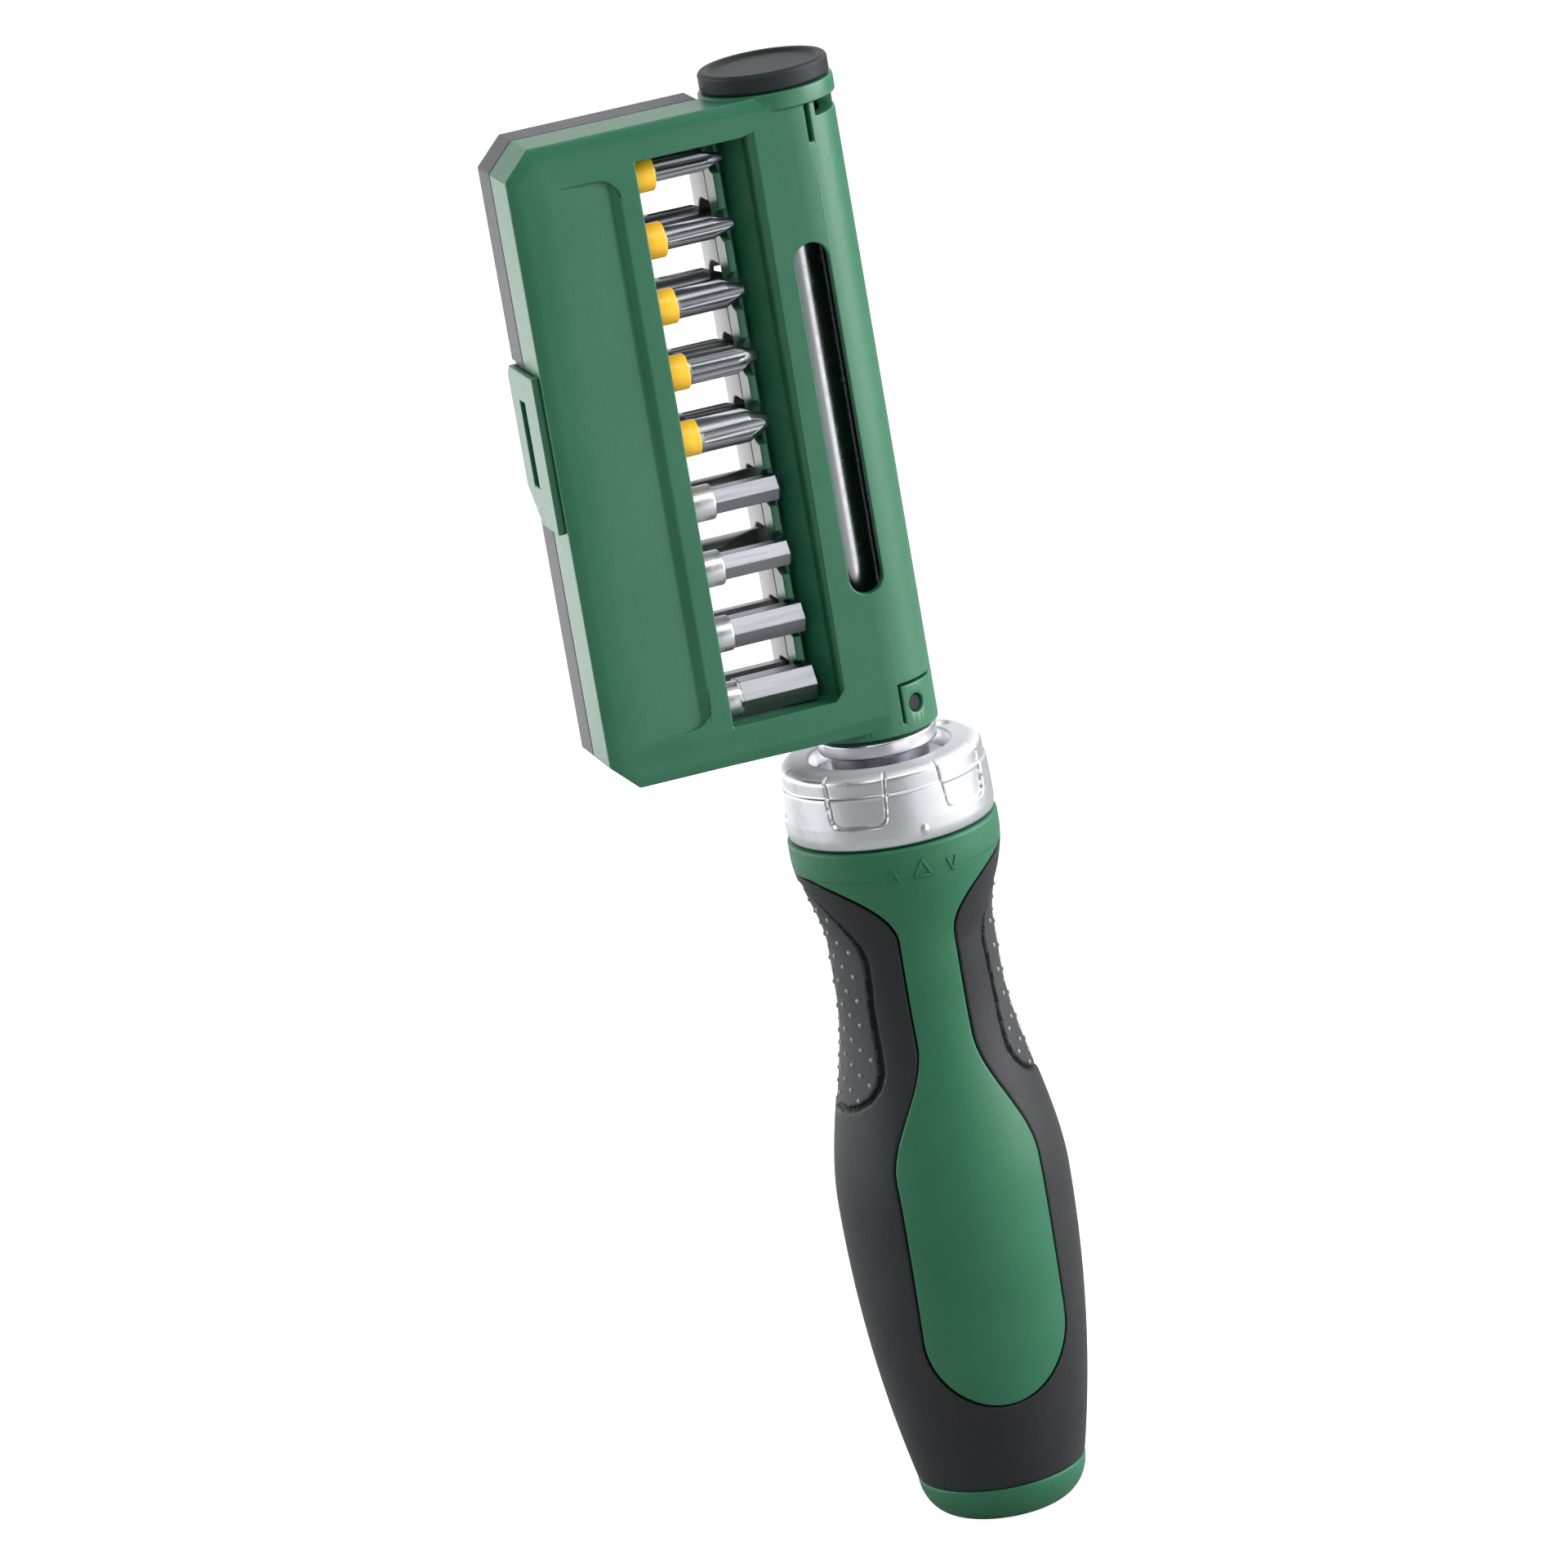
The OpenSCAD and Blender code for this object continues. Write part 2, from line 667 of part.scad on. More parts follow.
// Shallow field in the front plate, its deep side and its sloped wall towards the window
field_share = 0.86;
field_w_share = 0.52;
field_w = (case_reach - window_left) * field_w_share;
field_gap = 3.4;
field_left = window_left + field_gap + field_w;
field_t = 0.9;
field_wall_w = 1.7;
module front_field() {
    h = case_len * field_share;
    r = field_w / 3;
    low = plate_z + (case_len - h) / 2;
    intersection() {
        along_y(-tube_r - cut, -tube_r + field_t) translate([-field_left, low]) {
            square([field_w - r, h]);
            translate([0, r]) square([field_w, h - r * 2]);
            for (z = [r, h - r]) translate([field_w - r, z]) circle(r = r, $fn = 24);
        }
        translate([-field_left, -tube_r, low]) linear_extrude(height = h)
            polygon([[0, 0], [0, -cut], [field_w, -cut], [field_w, 0], [field_w - field_wall_w, field_t]]);
    }
}

// Notches that the bit tips lie in, open to one side
module tip_notches(y, size_shares, open_y) {
    for (i = [0 : bit_count - 1]) {
        d = size_shares[i] * bit_w / cos(30) + gap * 2;
        translate([-bit_tip - wall * 2, y, bit_z + i * bit_pitch]) {
            rotate([0, 90, 0]) cylinder(d = d, h = wall * 4, $fn = small_fn);
            translate([0, min(open_y - y, 0), -d / 2]) cube([wall * 4, abs(open_y - y), d]);
        }
    }
}

// Cored pocket in an arm, open at the seam
module arm_core(y0, y1, z0, z1) {
    translate([-window_left, y0, z0 + wall]) cube([window_w, y1 - y0, z1 - z0 - wall * 2]);
}

module tube_rings() {
    translate([0, 0, tube_z]) ring(tube_r, ring_bore_r, ring_low_h);
    translate([0, 0, flange_z - ring_high_h]) ring(tube_r, ring_bore_r, ring_high_h + cut);
    translate([0, 0, flange_z]) ring(flange_r, ring_bore_r, flange_t);
}

// Slots in the tube's front right, round the two snaps
slot_w = 0.9;
snap_az = 19;
post_az = 7;
notch_far_az = 86;
notch_h = 2.6;
tab_az = 14;
tab_far_az = 60;
snap_hole_r = 1.6;
snap_hole_az = 29;
snap_hole_share = 0.42;
low_snap_z = tube_z + wall;
low_snap_h = ring_low_h - wall;
module at_snap_hole() {
    rotate([0, 0, snap_hole_az]) translate([0, 0, low_snap_z + low_snap_h * snap_hole_share])
        rotate([90, 0, 0]) children();
}
module tube_slot(az0, az1, z, h) {
    arc_cut(ring_bore_r - cut, tube_r + wall, az0, az1, z, h);
}

module snap_cuts() {
    half_az = slot_w / tube_r * 90 / PI;
    tube_slot(snap_az - half_az, snap_az + half_az, flange_z - ring_high_h, ring_high_h);
    tube_slot(snap_az + half_az + post_az, notch_far_az, flange_z - notch_h, notch_h);
    tube_slot(tab_az - half_az, tab_az, low_snap_z, low_snap_h);
    tube_slot(tab_az - half_az, tab_far_az, tube_z + ring_low_h - slot_w / 2, slot_w / 2);
    at_snap_hole() cylinder(r = snap_hole_r, h = tube_r * 2, $fn = small_fn);
}

module case_front() {
    inner_y = -tube_r + wall;
    color(green) difference() {
        union() {
            difference() {
                union() {
                    hull() {
                        along_y(plate_slope_t - tube_r, -seam_gap) box_outline(0, 0);
                        along_y(-tube_r, run - tube_r) box_outline(0, plate_slope_w);
                    }
                    intersection() {
                        translate([0, 0, tube_z])
                            cylinder(r = tube_r, h = flange_z - tube_z, $fn = fine_fn);
                        translate([-tube_r - cut, -tube_r - cut, tube_z - cut])
                            cube([tube_d + cut * 2, tube_r + cut - seam_gap, case_len * 2]);
                    }
                }
                intersection() {
                    along_y(inner_y, cut) box_outline(0, wall);
                    translate([-case_reach, -tube_r, plate_z])
                        cube([case_reach - window_left, tube_d, case_len]);
                }
                window_cut(-tube_r - cut, cut);
                along_y(-tube_r - cut, cut) translate([-window_right, window_z])
                    square([window_right - arm_in_x, window_h]);
                arm_core(inner_y, cut, plate_z, window_z);
                arm_core(inner_y, cut, window_z + window_h, plate_top_z);
                translate([0, 0, tube_z - cut]) cylinder(r = bore_r, h = case_len * 2, $fn = fine_fn);
            }
            difference() {
                union() {
                    translate([-window_right, -rib_top, window_z])
                        cube([rib_w, rib_top - seam_gap, window_h]);
                    translate([-window_right, -rib_floor, window_z])
                        cube([window_right - bore_r, rib_floor - seam_gap, window_h]);
                }
                tip_notches(-bit_front_y, front_shares, -tube_r);
                translate([0, 0, tube_z - cut]) cylinder(r = bore_r, h = case_len * 2, $fn = fine_fn);
            }
            intersection() {
                difference() {
                    translate([0, 0, tube_z]) cylinder(r = tube_r, h = flange_z - tube_z, $fn = fine_fn);
                    translate([0, 0, tube_z - cut]) cylinder(r = bore_r, h = case_len * 2, $fn = fine_fn);
                }
                translate([-tube_r - cut, -tube_r - cut, tube_z - cut])
                    cube([tube_d + cut * 2, tube_r + cut - seam_gap, case_len * 2]);
            }
            tube_rings();
        }
        translate([0, 0, tube_z - cut]) cylinder(r = ring_bore_r, h = case_len * 2, $fn = fine_fn);
        front_field();
        snap_cuts();
        along_y(-tube_r - cut, 0) {
            mid = window_z + window_h / 2 - view_drop;
            for (z = [mid - view_len / 2 + view_w / 2, mid + view_len / 2 - view_w / 2])
                translate([0, z]) circle(d = view_w, $fn = 24);
            translate([-view_w / 2, mid - view_len / 2 + view_w / 2]) square([view_w, view_len - view_w]);
        }
        for (z = [tube_z + wall, flange_z - ring_high_h - cut])
            translate([hinge_x, hinge_y, z]) cylinder(r = hinge_pin_r, h = ring_low_h, $fn = small_fn);
    }
}

module guide(z, h) {
    color(black) translate([0, 0, z]) ring(ring_bore_r, spindle_r + run, h);
}

module lower_guide() {
    nub_r = snap_hole_r - gap;
    color(black) difference() {
        union() {
            translate([0, 0, tube_z + gap])
                cylinder(r = ring_bore_r, h = ring_low_h - gap * 2, $fn = fine_fn);
            at_snap_hole() cylinder(r = nub_r, h = tube_r - gap * 2, $fn = small_fn);
        }
        translate([0, 0, tube_z]) cylinder(r = spindle_r + run, h = ring_low_h, $fn = fine_fn);
    }
}

module upper_guide() {
    guide(flange_z - ring_high_h, ring_high_h / 2);
}

module end_plug() {
    r = plug_d / 2;
    dish = 0.6;
    rim = 1.5;
    edge = 0.5;
    stem_r = ring_bore_r - run;
    stem_t = wall;
    z = plate_top_z + gap;
    color(black) rotate_extrude($fn = fine_fn) polygon([
        [0, z], [stem_r - stem_t, z], [stem_r - stem_t, z - flange_t], [stem_r, z - flange_t], [stem_r, z],
        [r - edge, z], [r, z + edge], [r, z + plug_t - edge], [r - edge, z + plug_t],
        [r - rim, z + plug_t], [r - rim - dish, z + plug_t - dish], [0, z + plug_t - dish]]);
}

bead_low_z = tube_z + ring_low_h + gap;
bead_high_z = flange_z - ring_high_h - gap;
module hinge_pin(z0, z1) {
    color(steel) translate([hinge_x, hinge_y, z0]) cylinder(r = hinge_pin_r, h = z1 - z0, $fn = small_fn);
}
pin_grip = 6;
module hinge_pin_top() { hinge_pin(bead_high_z - pin_grip, flange_z - gap - wall); }
module hinge_pin_bottom() { hinge_pin(tube_z + wall, bead_low_z + pin_grip); }

// Rack that holds one row of shanks
module rack(y0, y1, y_bits) {
    left = case_reach - wall - gap;
    low = plate_z + wall + gap;
    high = plate_top_z - wall - gap;
    c = corner_cut - wall * corner_share;
    difference() {
        along_y(y0, y1) polygon([[-left + c, low], [-rack_end, low], [-rack_end, high], [-left + c, high],
            [-left, high - c], [-left, low + c]]);
        for (i = [0 : bit_count - 1]) translate([-rack_end + cut, y_bits, bit_z + i * bit_pitch])
            rotate([0, -90, 0]) rotate([0, 0, 30]) cylinder(r = hex_r + run, h = shank_len + cut, $fn = 6);
    }
}
module front_rack() { color(black) rack(-tube_r + wall + gap / 2, -row_gap - gap, -bit_front_y); }
module back_rack() { color(black) rack(row_gap + gap, back_t - wall - gap / 2, bit_back_y); }

module case_back() {
    inner_y = back_t - wall;
    color(dark) difference() {
        union() {
            difference() {
                union() {
                    hull() {
                        along_y(seam_gap, back_t - back_edge_cut) box_outline(back_right, 0);
                        along_y(back_t - run, back_t) box_outline(back_right, back_edge_cut);
                    }
                    translate([-back_right - cut, seam_gap, bead_low_z])
                        cube([back_right - arm_in_x, back_t - back_edge_cut, bead_high_z - bead_low_z]);
                }
                intersection() {
                    along_y(-cut, inner_y) box_outline(0, wall);
                    translate([-case_reach, -tube_r, plate_z])
                        cube([case_reach - window_left, tube_d, case_len]);
                }
                window_cut(-cut, back_t + cut);
                arm_core(-cut, inner_y, plate_z, window_z);
                arm_core(-cut, inner_y, window_z + window_h, plate_top_z);
                translate([0, 0, tube_z])
                    cylinder(r = bore_r + wall / 2, h = case_len * 2, $fn = fine_fn);
            }
            intersection() {
                translate([0, 0, bead_low_z]) difference() {
                    cylinder(r = tube_r, h = bead_high_z - bead_low_z, $fn = fine_fn);
                    translate([0, 0, -cut]) cylinder(r = bore_r, h = case_len, $fn = fine_fn);
                }
                translate([-tube_r - cut, seam_gap, bead_low_z - cut])
                    cube([tube_d + cut * 2, tube_d, case_len]);
            }
            translate([hinge_x, hinge_y, bead_low_z])
                cylinder(r = bead_r, h = bead_high_z - bead_low_z, $fn = mid_fn);
        }
        tip_notches(bit_back_y, back_shares, 0);
        difference() {
            translate([hinge_x - bead_r * 2, -cut, bead_low_z - cut])
                cube([bead_r * 4, hinge_y + cut, case_len]);
            translate([hinge_x, hinge_y, bead_low_z]) cylinder(r = bead_r, h = case_len, $fn = mid_fn);
        }
        for (z = [bead_low_z - cut, bead_high_z - pin_grip - cut]) translate([hinge_x, hinge_y, z])
            cylinder(r = hinge_pin_r + run, h = pin_grip + cut * 2, $fn = small_fn);
        latch_pocket();
    }
}

// Pocket in the back shell's long edge for the latch's hook
hook_y = back_t - back_edge_cut - latch_hook - gap * 2;
module latch_pocket() {
    translate([-case_reach - cut, hook_y - gap, latch_z - gap])
        cube([cut + latch_hook, latch_hook + gap * 3 + back_edge_cut, latch_h + gap * 2]);
}

module latch_tab() {
    slot_share = 0.55;
    slot_low_share = 0.25;
    taper_share = 0.22;
    slot_w = 3.2;
    slot_h = latch_h * slot_share;
    slot_z = latch_z + latch_h * slot_low_share;
    taper = latch_h * taper_share;
    front_y = -latch_axis_y;
    rear_y = hook_y + latch_hook;
    top_z = latch_z + latch_h;
    color(green) difference() {
        union() {
            translate([-case_reach - gap - latch_t, 0, 0]) rotate([90, 0, 90])
                linear_extrude(height = latch_t) polygon([
                    [front_y, latch_z], [rear_y - taper, latch_z], [rear_y, latch_z + taper],
                    [rear_y, top_z - slot_w / 2], [rear_y - slot_w / 2, top_z], [front_y, top_z]]);
            translate([-case_reach - gap - cut, front_y, latch_z])
                cube([gap + cut, wall, latch_h]);
            translate([-case_reach - gap - cut, hook_y, latch_z + taper])
                cube([cut + latch_hook, latch_hook, latch_h - taper - gap]);
        }
        translate([-case_reach - latch_t * 2, -slot_w / 2, slot_z]) cube([latch_t * 4, slot_w, slot_h]);
    }
}

// Kinds of bit: 0 fluted cross, 1 star, 2 flat blade, 3 hex key. The tips' widths are shares of
// the shank's.
front_kinds = [3, 3, 2, 2, 0, 1, 0, 0, 1];
front_shares = [0.95, 0.8, 0.95, 0.78, 0.95, 0.8, 0.8, 0.64, 0.56];
back_kinds = [3, 3, 2, 2, 1, 1, 0, 0, 1];
back_shares = [0.64, 0.48, 0.87, 0.56, 0.71, 0.64, 0.95, 0.8, 0.48];

// A round tip with a cone at its end and flutes that run out at its foot.
// The shares are of its diameter across and of its length along it.
module fluted_tip(d, flutes, lean, h) {
    cone_share = 0.72;
    point_share = 0.36;
    flute_share = 0.42;
    flute_at_share = 0.58;
    flute_foot_share = 0.12;
    difference() {
        union() {
            cylinder(d = d, h = h * cone_share, $fn = small_fn);
            translate([0, 0, h * cone_share])
                cylinder(d1 = d, d2 = d * point_share, h = h - h * cone_share, $fn = small_fn);
        }
        for (i = [0 : flutes - 1]) rotate([0, 0, i * 360 / flutes])
            translate([d * flute_at_share, 0, h * flute_foot_share])
                rotate([0, -lean, 0]) cylinder(d = d * flute_share, h = h * 2, $fn = 13);
    }
}

// A blade: its points are shares of half its width across and of its length up
blade_shares = [[1, 0], [1, 0.2], [0.2, 0.75], [0.2, 1]];
module blade_tip(d, h) {
    right = [for (p = blade_shares) [p[0] * d / 2, p[1] * h]];
    n = len(right);
    intersection() {
        cylinder(d = d, h = h, $fn = small_fn);
        rotate([90, 0, 90]) translate([0, 0, -d]) linear_extrude(height = d * 2)
            polygon(concat(right, [for (i = [n - 1 : -1 : 0]) [-right[i][0], right[i][1]]]));
    }
}

// A bit along +X, its shank in the rack and its tip in the notch
module bit(kind, size, y, i, ring_colour) {
    neck_r = bit_w / 2 - gap / 2;
    tip_z = shank_len + neck_len - cut;
    tip_len = bit_len - tip_z;
    translate([-bit_tip - bit_len, y, bit_z + i * bit_pitch]) rotate([0, 90, 0]) {
        color(steel) hex_prism(bit_w, shank_len);
        color(ring_colour) translate([0, 0, shank_len - cut])
            cylinder(r = neck_r, h = neck_len + cut, $fn = small_fn);
        color(steel) translate([0, 0, tip_z]) {
            if (kind == 0) fluted_tip(size, 4, 4, tip_len);
            if (kind == 1) fluted_tip(size, 6, 1, tip_len);
            if (kind == 2) blade_tip(size, tip_len);
            if (kind == 3) hex_prism(size, tip_len);
        }
    }
}
module front_bit(i) {
    bit(front_kinds[i], front_shares[i] * bit_w, -bit_front_y, i, i > 3 ? yellow : steel);
}
module back_bit(i) {
    bit(back_kinds[i], back_shares[i] * bit_w, bit_back_y, i, steel);
}

// Row places are counted from the top, as the photograph shows them
module front_bit_1() { front_bit(8); }
module front_bit_2() { front_bit(7); }
module front_bit_3() { front_bit(6); }
module front_bit_4() { front_bit(5); }
module front_bit_5() { front_bit(4); }
module front_bit_6() { front_bit(3); }
module front_bit_7() { front_bit(2); }
module front_bit_8() { front_bit(1); }
module front_bit_9() { front_bit(0); }
module back_bit_1() { back_bit(8); }
module back_bit_2() { back_bit(7); }
module back_bit_3() { back_bit(6); }
module back_bit_4() { back_bit(5); }
module back_bit_5() { back_bit(4); }
module back_bit_6() { back_bit(3); }
module back_bit_7() { back_bit(2); }
module back_bit_8() { back_bit(1); }
module back_bit_9() { back_bit(0); }

handle_core();
rubber_grip();
butt_cap();
ratchet_housing();
bearing_bush();
collar_ring();
pawl_pin_left();
pawl_pin_right();
cover_plate();
selector_collar();
cam_ring();
pawl_left();
pawl_right();
pawl_spring_left();
pawl_spring_right();
ratchet_gear();
spindle();
ferrule();
retaining_washer();
thrust_washer();
spindle_circlip();
socket_magnet();
socket_ring();
case_front();
lower_guide();
upper_guide();
end_plug();
hinge_pin_top();
hinge_pin_bottom();
front_rack();
case_back();
back_rack();
latch_tab();
front_bit_1();
front_bit_2();
front_bit_3();
front_bit_4();
front_bit_5();
front_bit_6();
front_bit_7();
front_bit_8();
front_bit_9();
back_bit_1();
back_bit_2();
back_bit_3();
back_bit_4();
back_bit_5();
back_bit_6();
back_bit_7();
back_bit_8();
back_bit_9();
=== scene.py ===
import json
import math

import bmesh
import bpy
import numpy as np
from mathutils import Matrix, Vector

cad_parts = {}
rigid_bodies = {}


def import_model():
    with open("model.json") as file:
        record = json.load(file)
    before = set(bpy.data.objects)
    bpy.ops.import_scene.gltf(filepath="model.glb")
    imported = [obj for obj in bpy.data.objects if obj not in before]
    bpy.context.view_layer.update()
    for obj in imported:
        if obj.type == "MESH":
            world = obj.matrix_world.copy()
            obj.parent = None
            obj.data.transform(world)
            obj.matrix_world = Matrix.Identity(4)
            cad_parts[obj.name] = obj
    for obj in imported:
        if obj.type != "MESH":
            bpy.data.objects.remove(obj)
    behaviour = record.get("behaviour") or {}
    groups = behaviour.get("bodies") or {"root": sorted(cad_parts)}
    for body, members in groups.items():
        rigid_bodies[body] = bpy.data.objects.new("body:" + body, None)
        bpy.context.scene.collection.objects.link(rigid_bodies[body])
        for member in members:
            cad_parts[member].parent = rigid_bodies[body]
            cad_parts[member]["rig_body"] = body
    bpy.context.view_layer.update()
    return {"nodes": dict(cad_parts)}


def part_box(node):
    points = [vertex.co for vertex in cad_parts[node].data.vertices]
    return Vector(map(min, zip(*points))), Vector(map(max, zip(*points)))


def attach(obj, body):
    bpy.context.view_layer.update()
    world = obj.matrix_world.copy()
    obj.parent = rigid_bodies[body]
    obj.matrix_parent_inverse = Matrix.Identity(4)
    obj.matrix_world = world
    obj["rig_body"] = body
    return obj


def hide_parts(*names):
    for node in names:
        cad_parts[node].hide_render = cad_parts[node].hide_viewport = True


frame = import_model()

# Camera
# A long lens a little above the tool and left of the case's front, rolled so that the spindle
# leans to the left in the picture.
azimuth, elevation, roll = (math.radians(angle) for angle in (-15.11, 15.0, -9.75))
distance, aim_z = 1562.3, 149.67
picture, focal, centre_x, centre_y = 1920, 11294.2, 1061.1, 827.4
MM = 0.001
back = Vector((math.sin(azimuth) * math.cos(elevation), -math.cos(azimuth) * math.cos(elevation),
               math.sin(elevation)))
level = Vector((math.cos(azimuth), math.sin(azimuth), 0))
upright = back.cross(level)
right = math.cos(roll) * level + math.sin(roll) * upright
up = math.cos(roll) * upright - math.sin(roll) * level
lens = bpy.data.cameras.new("camera")
lens.sensor_width = 36
lens.lens = focal / picture * lens.sensor_width
lens.shift_x = (picture / 2 - centre_x) / picture
lens.shift_y = (centre_y - picture / 2) / picture
lens.clip_start, lens.clip_end = 0.05, 20
camera = bpy.data.objects.new("camera", lens)
bpy.context.scene.collection.objects.link(camera)
camera.matrix_world = Matrix((right, up, back)).transposed().to_4x4()
camera.location = (Vector((0, 0, aim_z)) + back * distance) * MM
bpy.context.scene.camera = camera

# Handle core
# One moulding in green plastic that carries the ratchet. It stays bare on a panel at the front
# and one at the back, narrow at the neck, and flares into a band under the collar.
handle_len, cap_h, seam_r, flat_r = 123.6, 6.8, 14.69, 9.5
belly_r, belly_z, neck_r, top_r = 20.19, 58.0, 14.6, 18.1
neck_low_z, neck_high_z, band_z = 0.777 * handle_len, 0.841 * handle_len, 0.979 * handle_len
grip_t, seam_gap, foot_curve = 1.9, 0.19, 2.1
top_round, panel_round = 0.45, 0.5
handle_turn = math.radians(-4.5)
panel_w, panel_neck_w = 25.4, 9.9
foot_z, round_z, wide_z = 0.39 * belly_z, 0.62 * belly_z, 1.12 * belly_z
waist_z, flare_z, full_z = 0.92 * neck_low_z, 1.02 * neck_high_z, 0.985 * band_z


def way(z, low, high):
    return min(1.0, max(0.0, (z - low) / (high - low)))


def soft(share):
    return share * share * (3 - 2 * share)


def mix(first, second, share):
    return first + (second - first) * share


def handle_radius(z):
    if z < cap_h:
        return mix(flat_r, seam_r, math.sqrt(1 - (1 - way(z, 0, cap_h)) ** 2))
    if z < belly_z:
        return belly_r - (belly_r - seam_r) * (1 - way(z, cap_h, belly_z)) ** foot_curve
    if z < neck_high_z:
        return mix(belly_r, neck_r, soft(way(z, belly_z, neck_low_z)))
    return mix(neck_r, top_r, soft(way(z, neck_high_z, band_z)))


def panel_half(z):
    """Half the width of the bare panel: round foot, belly, waist and flare."""
    if z < round_z:
        return panel_w / 2 * math.sqrt(max(0, 1 - (1 - way(z, foot_z, round_z)) ** 2))
    if z < wide_z:
        return panel_w / 2
    if z < flare_z:
        return mix(panel_w, panel_neck_w, soft(way(z, wide_z, waist_z))) / 2
    return mix(panel_neck_w / 2, top_r + 0.5, way(z, flare_z, full_z) ** 2)


def panel_angle(z, apart):
    """Angle of the panel's edge, set back by the seam on the core and on the grip."""
    half = panel_half(z + apart)
    return math.asin(min(1.0, max(0.0, half + apart) / handle_radius(z))) if half > 0 else 0.0


def around(az, r, z):
    return Vector((r * math.sin(az), -r * math.cos(az), z))


def rounding(inside, radius):
    """How far a surface falls towards its edge, for a round of that radius."""
    if inside >= radius:
        return 0.0
    return radius - math.sqrt(max(0.0, radius ** 2 - (radius - inside) ** 2))


full_at = next(z for z in np.arange(flare_z, full_z + 1, 0.01)
               if panel_angle(z, seam_gap) >= math.pi / 2)
seam = np.array([(handle_radius(z) * panel_angle(z, 0), z)
                 for z in np.concatenate([foot_z + 8 * np.linspace(0, 1, 90) ** 2,
                                          np.arange(foot_z + 8.2, full_at, 0.25)])])


def seam_distance(az, z):
    """Distance over the surface to the seam between core and grip, for 0 to 90 degrees."""
    return float(np.sqrt(((seam - (handle_radius(z) * az, z)) ** 2).sum(1).min()))


def lay(columns, rows, place, left_out=()):
    """A grid laid on the object: each vertex goes where place(column, row) says, and the
    strips of faces between the columns in left_out are cut away."""
    made = bmesh.new()
    bmesh.ops.create_grid(made, x_segments=columns, y_segments=rows, size=0.5)
    cut = [face for face in made.faces
           if int((face.calc_center_median().x + 0.5) * columns) in left_out]
    bmesh.ops.delete(made, geom=cut, context="FACES")
    for vert in made.verts:
        column, row = round((vert.co.x + 0.5) * columns), round((vert.co.y + 0.5) * rows)
        vert.co = place(column, row) * MM
    bmesh.ops.remove_doubles(made, verts=made.verts, dist=0.002 * MM)
    return made


def finished(made, name, materials, body, crease=60, pick=None):
    """The piece made of a bmesh: outward faces, smooth but for its creases, on its body."""
    bmesh.ops.recalc_face_normals(made, faces=made.faces)
    for face in made.faces:
        face.smooth = True
        if pick:
            face.material_index = pick(face.calc_center_median() / MM)
    for edge in made.edges:
        if len(edge.link_faces) == 2 and edge.calc_face_angle(0) > math.radians(crease):
            edge.smooth = False
    mesh = bpy.data.meshes.new(name)
    made.to_mesh(mesh)
    made.free()
    for material in materials:
        mesh.materials.append(material)
    piece = bpy.data.objects.new(name, mesh)
    bpy.context.scene.collection.objects.link(piece)
    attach(piece, body)
    return piece


def finish(name, low, high, rough, grain, depth, metallic=0.0, specular=0.5, along=(1, 1, 1)):
    """A moulded or machined finish: soft clouds of colour, and one fine grain that both the
    roughness and the bump follow. along stretches the grain into brush marks."""
    material = bpy.data.materials.new(name)
    material.use_nodes = True
    tree = material.node_tree
    shader = tree.nodes["Principled BSDF"]
    shader.inputs["Metallic"].default_value = metallic
    shader.inputs["Specular IOR Level"].default_value = specular
    place = tree.nodes.new("ShaderNodeTexCoord").outputs["Object"]
    lie = tree.nodes.new("ShaderNodeMapping")
    lie.inputs["Scale"].default_value = along
    tree.links.new(place, lie.inputs["Vector"])
    for scale, ends, socket in ((60, (low, high), "Base Color"),
                                (grain, [(value,) * 3 for value in rough], "Roughness")):
        noise = tree.nodes.new("ShaderNodeTexNoise")
        noise.inputs["Scale"].default_value = scale
        noise.inputs["Detail"].default_value = 3
        tree.links.new(lie.outputs["Vector"], noise.inputs["Vector"])
        ramp = tree.nodes.new("ShaderNodeValToRGB")
        for stop, at, colour in zip(ramp.color_ramp.elements, (0.3, 0.7), ends):
            stop.position, stop.color = at, (*colour, 1)
        tree.links.new(noise.outputs["Fac"], ramp.inputs["Fac"])
        tree.links.new(ramp.outputs["Color"], shader.inputs[socket])
    bump = tree.nodes.new("ShaderNodeBump")
    bump.inputs["Strength"].default_value = 0.5
    bump.inputs["Distance"].default_value = depth * MM
    tree.links.new(noise.outputs["Fac"], bump.inputs["Height"])
    tree.links.new(bump.outputs["Normal"], shader.inputs["Normal"])
    return material


green = finish("green_plastic", (0.014, 0.110, 0.052), (0.019, 0.125, 0.062), (0.42, 0.54), 2600,
               0.06, specular=0.35)
rows = [cap_h, cap_h + 0.15, cap_h + 0.4, cap_h + 0.8, *np.linspace(cap_h + 2, foot_z - 1, 12)]
rows += [*np.linspace(foot_z - 0.8, foot_z, 8), *(foot_z + 8 * t * t for t in np.linspace(0.04, 1, 26))]
rows += [*np.arange(foot_z + 9, 74, 1.6), *np.arange(74, 119, 0.36)]
rows += [full_at - drop for drop in (0.8, 0.5, 0.3, 0.15, 0.05, 0.0)]
rows = sorted({round(float(z), 4) for z in rows if z <= full_at + 1e-6})
core_rows = rows + [*np.linspace(full_at + 0.3, handle_len - 0.7, 14)]
core_rows += [handle_len - step for step in (0.45, 0.2, 0.06, 0.0)]


def panel_shares(width, steps, count):
    """Shares across a strip of that width: close together at both edges for their rounds."""
    edge = [min(step, width / 2.2) / max(width, 1e-6) for step in steps]
    middle = [*np.linspace(edge[-1], 1 - edge[-1], count)[1:-1]]
    return edge + middle + [1 - share for share in edge[::-1]]


